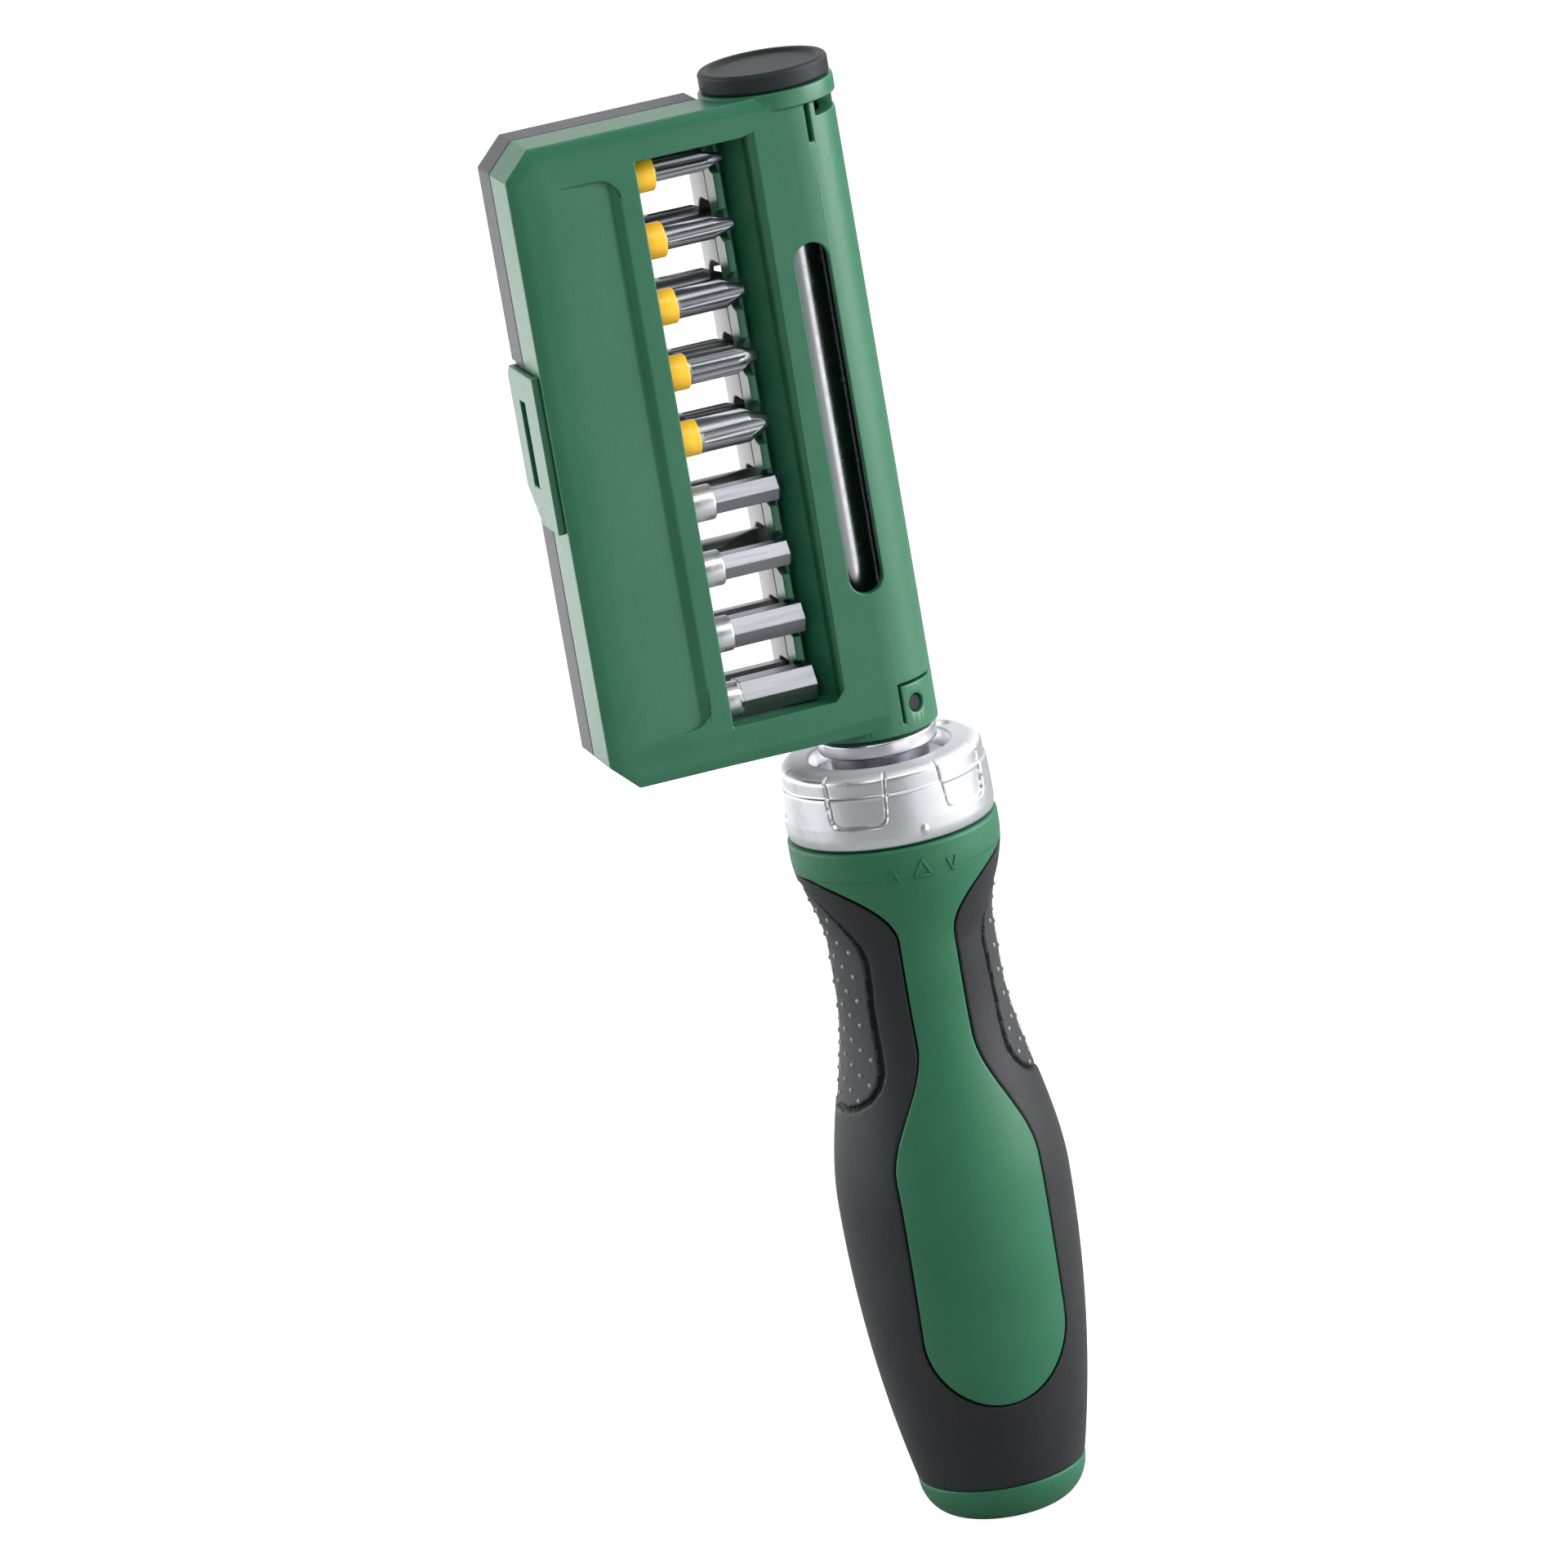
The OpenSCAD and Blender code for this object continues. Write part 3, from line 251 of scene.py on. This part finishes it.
core_rings = []
for z in core_rows:
    r = handle_radius(z)
    covered = z < full_at - 1e-4
    edge_az = panel_angle(z, -seam_gap) if covered else math.pi / 2
    round_top = rounding(handle_len - z, top_round)
    ring = []
    for half in (0, math.pi):
        for share in panel_shares(2 * edge_az * r, (0.0, 0.05, 0.13, 0.25, 0.4, 0.6), 40):
            az = mix(-edge_az, edge_az, share)
            drop = rounding(seam_distance(abs(az), z), panel_round) if covered else 0.0
            drop = grip_t if covered and edge_az == 0 else drop
            ring.append(around(half + az + handle_turn, r - max(drop, round_top), z))
        for share in np.linspace(0, 1, 10):
            az = mix(edge_az, math.pi - edge_az, share)
            ring.append(around(half + az + handle_turn, r - (grip_t if covered else round_top), z))
    core_rings.append(ring + ring[:1])
core = lay(len(core_rings[0]) - 1, len(core_rows) - 1, lambda column, row: core_rings[row][column])
bmesh.ops.holes_fill(core, edges=[edge for edge in core.edges if edge.is_boundary], sides=0)
handle_core = finished(core, "handle_core_body", [green], "handle")
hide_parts("handle_core")

# Direction marks
# Three small signs in fine raised lines, moulded with the core just under its band: an arrow
# for each way of turning, and a closed triangle between them for both ways locked.
up_arrow = [(-0.85, -1.1), (0, 1.1), (0.85, -1.1)]
down_arrow = [(-0.85, 1.1), (0, -1.1), (0.85, 1.1)]
triangle = [(-1.45, -1.3), (0.1, 1.5), (1.45, -1.3), (-1.45, -1.3)]
stroke_over, stroke_t, stroke_w, stroke_round = 0.3, 0.34, 0.4, 0.08
marks = bmesh.new()
for mark_az, mark_z, line in ((-14.5, 119.2, up_arrow), (1.5, 119.7, triangle),
                              (19.0, 119.2, down_arrow)):
    az = math.radians(mark_az) + handle_turn
    lean = math.atan2(handle_radius(mark_z + 1) - handle_radius(mark_z - 1), 2)
    lie_flat = Matrix.Rotation(az, 4, "Z") @ Matrix.Rotation(lean, 4, "X")
    for start, end in zip(line, line[1:]):
        start, end = Vector(start), Vector(end)
        slant = math.atan2(end.y - start.y, end.x - start.x)
        middle = (start + end) / 2
        stroke = Matrix.Translation(around(az, handle_radius(mark_z) + 0.02, mark_z)) @ lie_flat
        stroke = stroke @ Matrix.Translation((middle.x, 0, middle.y)) @ Matrix.Rotation(-slant, 4, "Y")
        size = ((end - start).length + stroke_over, stroke_t, stroke_w, 1)
        stroke = stroke @ Matrix.Diagonal(size)
        bmesh.ops.create_cube(marks, size=1, matrix=Matrix.Scale(MM, 4) @ stroke)
bmesh.ops.bevel(marks, geom=marks.edges[:], offset=stroke_round * MM, offset_type="OFFSET",
                segments=2, profile=0.5, affect="EDGES", clamp_overlap=True, material=-1)
direction_marks = finished(marks, "direction_marks", [green], "handle", crease=180)

# Rubber grip
# Soft dark rubber moulded over both sides of the core and joined below the panels. A rounded
# edge meets the green panel, and each side has a sunk pad with a groove round it, its faces painted near
# black as painted shade.
rubber = finish("grip_rubber", (0.010, 0.012, 0.013), (0.014, 0.016, 0.017), (0.46, 0.60), 3200, 0.07,
                specular=0.28)
# Painted shade: a near black rubber on the groove's faces, standing in for the shadow deep in the
# groove.
groove_painted_shade = finish("groove_painted_shade", (0.004, 0.005, 0.005), (0.006, 0.007, 0.007), (0.60, 0.70),
                       3200, 0.05, specular=0.2)
pad_rubber = finish("pad_rubber", (0.020, 0.023, 0.025), (0.028, 0.032, 0.034), (0.48, 0.62), 2400,
                    0.1, specular=0.3)
pad_shape = [(76.3, 0.0), (76.6, 4.6), (77.4, 7.4), (79.0, 9.9), (81.0, 11.0), (83.5, 11.3),
             (87.0, 10.7), (91.0, 10.0), (95.0, 9.7), (99.0, 10.0), (103.0, 10.1), (106.3, 9.4),
             (109.8, 7.9), (113.0, 5.8), (115.4, 3.2), (116.3, 0.0)]
pad_zs, pad_halves = (np.array(values) for values in zip(*pad_shape))
pad_line = np.array([(mix(w0, w1, t), mix(z0, z1, t))
                     for (z0, w0), (z1, w1) in zip(pad_shape, pad_shape[1:])
                     for t in np.linspace(0, 1, 12)])
groove_half, groove_depth, pad_sink = 0.66, 1.05, 0.25
grip_round, grip_foot_round = 0.6, 0.5


def in_pad(across, z, margin=0.0):
    return pad_zs[0] < z < pad_zs[-1] and across < np.interp(z, pad_zs, pad_halves) - margin


def groove_off(across, z):
    """Distance from the middle of the groove round the pad, or a large one far from it."""
    near = 74 < z < 118.5 and across < 13
    return float(np.sqrt(((pad_line - (across, z)) ** 2).sum(1).min())) if near else 99.0


def pad_drop(az, z):
    """Depth of the groove round the pad and of the pad itself, which lies a little lower."""
    across = abs(handle_radius(z) * math.cos(az))
    groove = groove_depth * max(0.0, 1 - (groove_off(across, z) / groove_half) ** 2)
    return max(groove, pad_sink if in_pad(across, z) else 0.0)


grip_rings = []
for z in rows:
    r = handle_radius(z)
    edge_az = panel_angle(z, seam_gap)
    span = math.pi - 2 * edge_az
    ring = []
    for side in (1, -1):
        shares = panel_shares(span * r, (0.0, 0.06, 0.16, 0.3, 0.48, 0.7), 122)
        for share in shares[::side]:
            az = edge_az + span * share
            folded = min(az, math.pi - az)
            drop = max(rounding(seam_distance(folded, z), grip_round),
                       rounding(z - cap_h, grip_foot_round))
            ring.append(around(side * az + handle_turn, r - drop - pad_drop(az, z), z))
    grip_rings.append(ring + ring[:1])
across_side = len(grip_rings[0]) // 2
grip = lay(2 * across_side, len(rows) - 1, lambda column, row: grip_rings[row][column],
           left_out=(across_side - 1, 2 * across_side - 1))
inner = bmesh.ops.extrude_face_region(grip, geom=grip.faces[:], use_keep_orig=True)["geom"]
inner_verts = [part for part in inner if isinstance(part, bmesh.types.BMVert)]
for vert in inner_verts:
    z = vert.co.z / MM
    flat = Vector((vert.co.x, vert.co.y)).normalized() * (handle_radius(z) - grip_t + 0.02) * MM
    vert.co = (flat.x, flat.y, vert.co.z)
inner_edges = [part for part in inner if isinstance(part, bmesh.types.BMEdge)]
bmesh.ops.dissolve_limit(grip, angle_limit=math.radians(4), verts=inner_verts, edges=inner_edges)


def grip_finish(at):
    side_az = math.atan2(at.x, -at.y) - handle_turn
    across = abs(handle_radius(at.z) * math.cos(side_az))
    if at.xy.length < handle_radius(at.z) - grip_t + 0.2:
        return 0
    # Faces near the groove's middle take the painted shade, faces inside the outline the pad rubber.
    return 2 if groove_off(across, at.z) < groove_half * 0.75 else int(in_pad(across, at.z))


grip_skin = finished(grip, "grip_skin", [rubber, pad_rubber, groove_painted_shade], "handle", pick=grip_finish)
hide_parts("rubber_grip")

# Grip studs
# Small glossy domes in a leaning lattice on both pads, polished by the mould. Their light grey
# colour, far paler than the grip's rubber, is a painted highlight on each dome.
# Painted highlight: a pale grey base colour in place of the light that each dome catches.
stud_painted_highlight = finish("stud_painted_highlight", (0.17, 0.175, 0.185), (0.21, 0.215, 0.225), (0.22, 0.30), 1800, 0.01)
stud_r, stud_rise, stud_across, stud_up, stud_lean = 0.46, 0.3, 2.5, 4.35, 1.45
stud_margin = 1.5
studs = bmesh.new()
for side in (1, -1):
    for column in range(-6, 7):
        for row in range(-16, 17):
            z = 96.0 + stud_up * row - stud_lean * column
            if not 77.5 < z < 115:
                continue
            r = handle_radius(z) - pad_sink
            az = math.pi / 2 - stud_across * column / r
            if in_pad(abs(r * math.cos(az)), z, stud_margin):
                seat = Matrix.Translation(around(side * az + handle_turn, r, z) * MM)
                seat = seat @ Matrix.Rotation(side * az + handle_turn, 4, "Z")
                seat = seat @ Matrix.Diagonal((stud_r * MM, stud_rise * MM, stud_r * MM, 1))
                bmesh.ops.create_uvsphere(studs, u_segments=8, v_segments=5, radius=1, matrix=seat)
grip_studs = finished(studs, "grip_studs", [stud_painted_highlight], "handle", crease=180)

# Butt
# A low dome in the same green plastic that closes the foot of the handle, with a fine step
# where the grip's edge meets it.
dome = [(cap_h * (1 - math.cos(math.radians(angle)))) for angle in np.linspace(3, 86, 26)]
butt_profile = [(0.0, 0.0), (flat_r - 0.4, 0.0), *((handle_radius(z), z) for z in dome)]
butt_profile += [(seam_r - 0.02, cap_h - 0.3), (seam_r - 0.12, cap_h - 0.1), (seam_r - 0.4, cap_h),
                 (0.0, cap_h)]


def turned(profile, steps, ring=False):
    """A profile of radius and height spun once round the tool's axis."""
    made = bmesh.new()
    verts = [made.verts.new(around(0, r, z) * MM) for r, z in profile]
    edges = [made.edges.new(pair) for pair in zip(verts, verts[1:])]
    if ring:
        edges.append(made.edges.new((verts[-1], verts[0])))
    bmesh.ops.spin(made, geom=verts + edges, cent=(0, 0, 0), axis=(0, 0, 1), dvec=(0, 0, 0),
                   angle=math.tau, steps=steps, use_merge=True, use_duplicate=False)
    bmesh.ops.remove_doubles(made, verts=made.verts, dist=0.001 * MM)
    return made


butt = finished(turned(butt_profile, 160), "butt_dome", [green], "handle", crease=40)
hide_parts("butt_cap")

# Ratchet
# Steel housing pressed in the handle's top with a bronze bush. Two sprung pawls on pins catch
# the gear on the spindle, and a cam ring in the collar lifts one or the other.
steel = finish("machined_steel", (0.50, 0.50, 0.52), (0.60, 0.60, 0.62), (0.28, 0.40), 1500, 0.02, 1.0)
bronze = finish("bush_bronze", (0.62, 0.44, 0.18), (0.72, 0.53, 0.24), (0.26, 0.38), 1200, 0.02, 1.0)
black = finish("black_plastic", (0.014, 0.016, 0.018), (0.020, 0.023, 0.026), (0.42, 0.54), 2600,
               0.05, specular=0.15)
nodes = frame["nodes"]


def coat(material, *names):
    for name in names:
        nodes[name].data.materials.clear()
        nodes[name].data.materials.append(material)


coat(steel, "ratchet_housing", "ratchet_gear", "cover_plate", "collar_ring", "pawl_left", "pawl_right",
     "pawl_pin_left", "pawl_pin_right", "pawl_spring_left", "pawl_spring_right", "retaining_washer",
     "spindle_circlip")
coat(bronze, "bearing_bush", "thrust_washer")
coat(black, "cam_ring")

# Selector collar
# A satin silver ring cast in metal, with a blasted top. Five finger panels are sunk in it, each
# in a fine groove, a step runs between them, and a raised pointer stands at the front's foot.
silver = finish("collar_metal", (0.54, 0.55, 0.58), (0.61, 0.62, 0.65), (0.30, 0.40), 1800, 0.02, 1.0,
                along=(1, 1, 0.3))
blasted = finish("blasted_metal", (0.62, 0.63, 0.66), (0.68, 0.69, 0.72), (0.62, 0.72), 1800, 0.03, 1.0)
collar_z, collar_top, collar_r, bore_r, bore_top = 123.9, 137.0, 17.95, 13.9, 133.05
finger_gap, finger_pitch, finger_foot, finger_round = 67.6, 73.1, collar_z + 4.2, 1.5
finger_foot_half, finger_top_half, finger_sink = 15.7, 18.4, 0.42
line_depth, line_half = 0.6, 0.32
step_z, collar_turn = collar_z + 9.3, math.radians(0.5)
pointer_az, pointer_z = math.radians(1.6), collar_z + 2.2
pointer_rise, pointer_half_w, pointer_half_h = 0.3, 0.75, 1.15
dimple_az, dimple_r, dimple_size, dimple_depth = math.radians(110), 14.2, 1.45, 0.9
lower_r, upper_r, shoulder_r, shoulder_h = collar_r - 0.2, collar_r - 0.56, 15.2, 1.45


def to_middle(az, centre):
    return (az - centre + math.pi) % math.tau - math.pi


def finger_inside(az, z):
    """Distance inside the nearest finger panel's outline, below zero outside it."""
    off = min(abs(to_middle(az, math.radians(finger_gap / 2 + finger_pitch * i))) for i in range(5))
    half = math.radians(mix(finger_foot_half, finger_top_half, way(z, finger_foot, collar_top)))
    side, up_in = (half - off) * collar_r, z - finger_foot
    if side < finger_round and up_in < finger_round:
        return finger_round - math.hypot(finger_round - side, finger_round - up_in)
    return min(side, up_in)


def collar_point(at):
    """Sinks the finger panels and raises the pointer on the plain turned ring."""
    r, z, az = at.xy.length, at.z, math.atan2(at.x, -at.y)
    if r > 15.3 and z > collar_z + 0.2:
        inside = finger_inside(az, z)
        sunk = finger_sink * soft(way(inside, -0.1, 0.35))
        sunk += line_depth * max(0.0, 1 - abs(inside - 0.05) / line_half)
        if z > step_z - 0.2 and inside > -0.1:
            sunk -= 0.25 * way(inside, -0.1, 0.3)
        off = math.hypot(collar_r * to_middle(az, pointer_az) / pointer_half_w,
                         (z - pointer_z) / pointer_half_h)
        r += pointer_rise * soft(max(0.0, 1 - off)) ** 0.7 - sunk * way(r, 15.3, 16.6)
    if z > collar_top - 0.15 and 12.6 < r < 16:
        hole = math.hypot(dimple_r * to_middle(az, dimple_az), r - dimple_r)
        z -= dimple_depth * soft(way(dimple_size - hole, 0, 0.35))
    return around(az + collar_turn, r, z)


profile = [(bore_r, collar_z), (17.2, collar_z), (17.45, collar_z + 0.1), (17.65, collar_z + 0.35)]
profile += [(collar_r - 0.3 * (1 - way(z, collar_z + 0.35, collar_z + 2.2)) ** 2, z)
            for z in np.linspace(collar_z + 0.6, collar_z + 3.8, 20)]
profile += [(collar_r - 0.18 * way(z, collar_z + 3.8, step_z), z)
            for z in [*np.linspace(collar_z + 3.95, collar_z + 6, 14),
                      *np.linspace(collar_z + 6.4, step_z - 0.3, 9)]]
profile += [(lower_r, step_z - 0.1), (lower_r - 0.08, step_z), (upper_r + 0.04, step_z + 0.12)]
profile += [(upper_r, z) for z in np.linspace(step_z + 0.3, collar_top - 1.6, 8)]
profile += [(shoulder_r + (upper_r - shoulder_r) * math.cos(angle),
             collar_top - shoulder_h + shoulder_h * math.sin(angle))
            for angle in np.linspace(0.1, 1.5, 13)]
profile += [(r, collar_top) for r in np.linspace(shoulder_r, 12.6, 18)]
profile += [(12.4, collar_top - 0.05), (12.2, collar_top - 0.3), (11.55, bore_top), (bore_r, bore_top)]
ring = turned(profile, 540, ring=True)
for vert in ring.verts:
    vert.co = collar_point(vert.co / MM) * MM
collar = finished(ring, "collar_body", [silver, blasted], "selector", crease=55,
                  pick=lambda at: int(at.z > collar_top - 1.0 and at.xy.length < collar_r - 0.9))
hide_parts("selector_collar")

# Spindle and bit socket
# A chromed shaft that runs the length of the case, with a chromed ferrule round its foot. A
# dark magnet sits behind the hexagon socket for the bit.
chrome = finish("chrome", (0.52, 0.53, 0.56), (0.58, 0.59, 0.62), (0.20, 0.28), 900, 0.002, 1.0)
magnet = finish("magnet_grey", (0.20, 0.20, 0.21), (0.26, 0.26, 0.27), (0.30, 0.40), 900, 0.01, 1.0)


def dressed(node, name, materials, round_mm, pick=None, crease=32, reshape=None):
    """The node's own shape, cleaned, with the small round of its mould or tumbling on every edge."""
    made = bmesh.new()
    made.from_mesh(nodes[node].data)
    bmesh.ops.remove_doubles(made, verts=made.verts, dist=0.001 * MM)
    if reshape:
        reshape(made)
    bmesh.ops.dissolve_limit(made, angle_limit=math.radians(0.4), verts=made.verts, edges=made.edges)
    edges = [edge for edge in made.edges if len(edge.link_faces) == 2
             and edge.calc_face_angle(0) > math.radians(crease) and edge.calc_length() > 0.05 * MM]
    bmesh.ops.bevel(made, geom=edges, offset=round_mm * MM, offset_type="OFFSET", segments=2,
                    profile=0.5, affect="EDGES", clamp_overlap=False, material=-1)
    bmesh.ops.remove_doubles(made, verts=made.verts, dist=0.001 * MM)
    piece = finished(made, name, materials, nodes[node]["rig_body"], crease=180, pick=pick)
    weighted = piece.modifiers.new("flat_faces", "WEIGHTED_NORMAL")
    weighted.weight = 60
    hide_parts(node)
    return piece


dressed("spindle", "spindle_shaft", [chrome], 0.1)
dressed("ferrule", "ferrule_body", [chrome], 0.15)
coat(steel, "socket_ring")
coat(magnet, "socket_magnet")

# Case front
# The front half of the bit case, one green moulding with its tube for the spindle, a window
# with a scalloped rib for the tips, and a slot that shows the spindle.
shell_green = finish("case_green", (0.014, 0.110, 0.054), (0.019, 0.125, 0.064), (0.30, 0.40), 2600,
                     0.05, specular=0.5)
lip_x, lip_y, lip_round = -7.63, -10.9, 1.5


def soft_lip(made):
    """Rounds the window's edge widely where it runs down to the tube."""
    bmesh.ops.dissolve_limit(made, angle_limit=math.radians(0.4), verts=made.verts, edges=made.edges)
    lip = [edge for edge in made.edges
           if all(math.hypot(end.co.x / MM - lip_x, end.co.y / MM - lip_y) < 0.03
                  for end in edge.verts)]
    bmesh.ops.bevel(made, geom=lip, offset=lip_round * MM, offset_type="OFFSET", segments=8,
                    profile=0.5, affect="EDGES", clamp_overlap=False, material=-1)


dressed("case_front", "case_front_moulding", [shell_green], 0.28, reshape=soft_lip)
coat(black, "lower_guide", "upper_guide")

# End plug
# A black plastic disc with a raised rim, pressed in the tube's upper end.
dressed("end_plug", "end_plug_disc", [black], 0.2)

# Case back and latch
# The back half in dark grey plastic swings on two steel pins by the tube. The right wall of its
# window is painted pale grey as painted light, for the light falling on that face of the dark shell.
# The latch is a green tab of the front half that bends and clips over its edge.
# Painted light: a pale grey in place of the light on the dark grey shell's window wall.
lit_wall_paint = finish("painted_light_window_wall", (0.40, 0.40, 0.42), (0.46, 0.46, 0.48), (0.40, 0.52), 2600, 0.04)
grey = finish("grey_plastic", (0.060, 0.064, 0.070), (0.078, 0.083, 0.090), (0.42, 0.56), 2600, 0.06,
              specular=0.3)
window_right, window_low, window_high = -13.0, 149.35, 247.35
# Faces of the window's right wall take the painted light, the rest the dark grey plastic.
dressed("case_back", "case_back_moulding", [grey, lit_wall_paint], 0.25,
        pick=lambda at: int(abs(at.x - window_right) < 0.2 and window_low < at.z < window_high))
dressed("latch_tab", "latch_moulding", [shell_green], 0.2)
coat(steel, "hinge_pin_top", "hinge_pin_bottom")

# Bit racks
# A black plastic rail in each half of the case, which holds the bits by their hexagon ends.
dressed("front_rack", "front_rack_body", [black], 0.15)
dressed("back_rack", "back_rack_body", [black], 0.15)

# Bits
# Eighteen short hexagon bits in tumbled grey steel. The front row wears sleeves on the necks,
# five yellow and four bright on the hexagon bits, and the back row has bright necks, one red.
bit_steel = finish("bit_steel", (0.22, 0.23, 0.25), (0.34, 0.35, 0.37), (0.28, 0.40), 1500, 0.02, 1.0,
                   along=(0.06, 1, 1))
bright = finish("bright_steel", (0.58, 0.58, 0.60), (0.68, 0.68, 0.70), (0.34, 0.46), 1500, 0.02, 1.0)
yellow = finish("ring_yellow", (0.84, 0.47, 0.020), (0.90, 0.54, 0.03), (0.34, 0.46), 1800, 0.03)
red = finish("ring_red", (0.42, 0.016, 0.025), (0.48, 0.022, 0.03), (0.34, 0.46), 1800, 0.03)
neck_from, neck_len, sleeve_r, sleeve_round = 9.0, 3.0, 3.05, 0.35
sleeve_lens = (3.7, 3.7, 3.7, 3.7, 3.7, 4.2, 3.8, 3.4, 3.0)
hexagon_tip_r, hexagon_tip_edge = 2.45, 0.55


def along_x(at):
    return Matrix.Translation(Vector(at) * MM) @ Matrix.Rotation(math.pi / 2, 4, "Y")


for row in ("front", "back"):
    for number in range(1, 10):
        node = f"{row}_bit_{number}"
        low, high = (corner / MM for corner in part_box(node))
        axis_y, axis_z = (low.y + high.y) / 2, (low.z + high.z) / 2
        neck = low.x + neck_from

        def hexagon_tip(made):
            """Trades the tip for a hexagon one with a chamfered end."""
            bmesh.ops.bisect_plane(made, geom=made.verts[:] + made.edges[:] + made.faces[:],
                                   clear_outer=True, plane_no=(1, 0, 0),
                                   plane_co=((neck + neck_len - 0.1) * MM, 0, 0))
            rim = [edge for edge in made.edges if edge.is_boundary]
            bmesh.ops.holes_fill(made, edges=rim, sides=0)
            length = high.x - neck - neck_len + 0.2
            seat = along_x((high.x - length / 2, axis_y, axis_z))
            tip = bmesh.ops.create_cone(made, cap_ends=True, segments=6, depth=length * MM,
                                        radius1=hexagon_tip_r * MM, radius2=hexagon_tip_r * MM,
                                        matrix=seat)["verts"]
            rim = {edge for vert in tip for edge in vert.link_edges
                   if all(abs(end.co.x - high.x * MM) < 0.01 * MM for end in edge.verts)}
            bmesh.ops.bevel(made, geom=list(rim), offset=hexagon_tip_edge * MM, offset_type="OFFSET",
                            segments=1, profile=0.5, affect="EDGES", clamp_overlap=False, material=-1)

        dressed(node, f"{node}_body", [bit_steel, red if node == "back_bit_8" else bright], 0.08,
                pick=lambda at: int(neck - 0.02 < at.x < neck + neck_len + 0.02),
                reshape=hexagon_tip if node in ("front_bit_6", "front_bit_7") else None)
        if row == "front":
            sleeve_len = sleeve_lens[number - 1]
            made = bmesh.new()
            seat = along_x((neck + sleeve_len / 2, axis_y, axis_z))
            bmesh.ops.create_cone(made, cap_ends=True, segments=48, depth=sleeve_len * MM,
                                  radius1=sleeve_r * MM, radius2=sleeve_r * MM, matrix=seat)
            rims = [edge for edge in made.edges if edge.calc_face_angle(0) > math.radians(60)]
            bmesh.ops.bevel(made, geom=rims, offset=sleeve_round * MM, offset_type="OFFSET", segments=4,
                            profile=0.5, affect="EDGES", clamp_overlap=True, material=-1)
            sleeve = finished(made, f"{node}_sleeve", [yellow if number <= 5 else bright],
                              nodes[node]["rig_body"])

# Floor, lamps and background
# A plain pale floor in a white studio: a tall soft box on each side, a narrow one left of the
# camera, a weak one above and two low ones. The side that the camera stands on is dim.
paper = finish("paper", (0.38, 0.38, 0.38), (0.40, 0.40, 0.40), (0.88, 0.92), 900, 0.0, specular=0.1)
sheet = bmesh.new()
bmesh.ops.create_grid(sheet, x_segments=1, y_segments=1, size=6)
floor_mesh = bpy.data.meshes.new("floor")
sheet.to_mesh(floor_mesh)
sheet.free()
floor_mesh.materials.append(paper)
floor = bpy.data.objects.new("floor", floor_mesh)
bpy.context.scene.collection.objects.link(floor)
tree = paper.node_tree
rays = tree.nodes.new("ShaderNodeLightPath")
glow = tree.nodes.new("ShaderNodeMath")
glow.operation = "MULTIPLY"
glow.inputs[1].default_value = 0.9
tree.links.new(rays.outputs["Is Camera Ray"], glow.inputs[0])
paper_shader = tree.nodes["Principled BSDF"]
paper_shader.inputs["Emission Color"].default_value = (1, 1, 1, 1)
tree.links.new(glow.outputs[0], paper_shader.inputs["Emission Strength"])


def soft_box(name, az, rise, away, size, power):
    """A rectangular lamp at a distance in metres, aimed at the middle of the tool."""
    data = bpy.data.lights.new(name, "AREA")
    data.shape = "RECTANGLE"
    data.size, data.size_y = size
    data.energy = power
    lamp = bpy.data.objects.new(name, data)
    bpy.context.scene.collection.objects.link(lamp)
    az, rise = math.radians(az), math.radians(rise)
    toward = Vector((math.sin(az) * math.cos(rise), -math.cos(az) * math.cos(rise), math.sin(rise)))
    lamp.location = Vector((0, 0, 0.14)) + toward * away
    lamp.rotation_euler = toward.to_track_quat("Z", "Y").to_euler()


soft_box("right_box", 72, 20, 0.95, (0.8, 0.9), 19)
soft_box("left_box", -108, 12, 0.95, (1.0, 1.0), 11)
soft_box("front_box", -32, 30, 1.05, (0.2, 0.6), 1.6)
soft_box("top_box", 12, 52, 1.05, (0.8, 0.35), 3.6)
soft_box("low_box", 28, -4, 0.45, (0.3, 0.2), 0.25)
soft_box("rim_box", -163, -6, 0.5, (0.4, 0.16), 0.4)

world = bpy.data.worlds.new("studio")
bpy.context.scene.world = world
world.use_nodes = True
tree = world.node_tree
backdrop = tree.nodes["Background"]
backdrop.inputs["Color"].default_value = (1, 1, 1, 1)
rays = tree.nodes.new("ShaderNodeLightPath")
seen = tree.nodes.new("ShaderNodeMath")
seen.operation = "MAXIMUM"
tree.links.new(rays.outputs["Is Camera Ray"], seen.inputs[0])
tree.links.new(rays.outputs["Is Transmission Ray"], seen.inputs[1])
toward_front = tree.nodes.new("ShaderNodeVectorMath")
toward_front.operation = "DOT_PRODUCT"
toward_front.inputs[1].default_value = (-0.26, -0.93, 0.26)
tree.links.new(tree.nodes.new("ShaderNodeTexCoord").outputs["Generated"], toward_front.inputs[0])
dim = tree.nodes.new("ShaderNodeMapRange")
dim.interpolation_type = "SMOOTHSTEP"
for socket, value in (("From Min", -0.5), ("From Max", 0.3), ("To Min", 1.1), ("To Max", 0.1)):
    dim.inputs[socket].default_value = value
tree.links.new(toward_front.outputs["Value"], dim.inputs["Value"])
strength = tree.nodes.new("ShaderNodeMix")
dimmed, white = strength.inputs[2], strength.inputs[3]
white.default_value = 1.0
tree.links.new(seen.outputs[0], strength.inputs["Factor"])
tree.links.new(dim.outputs["Result"], dimmed)
tree.links.new(strength.outputs[0], backdrop.inputs["Strength"])

bpy.context.scene.view_settings.view_transform = "Standard"
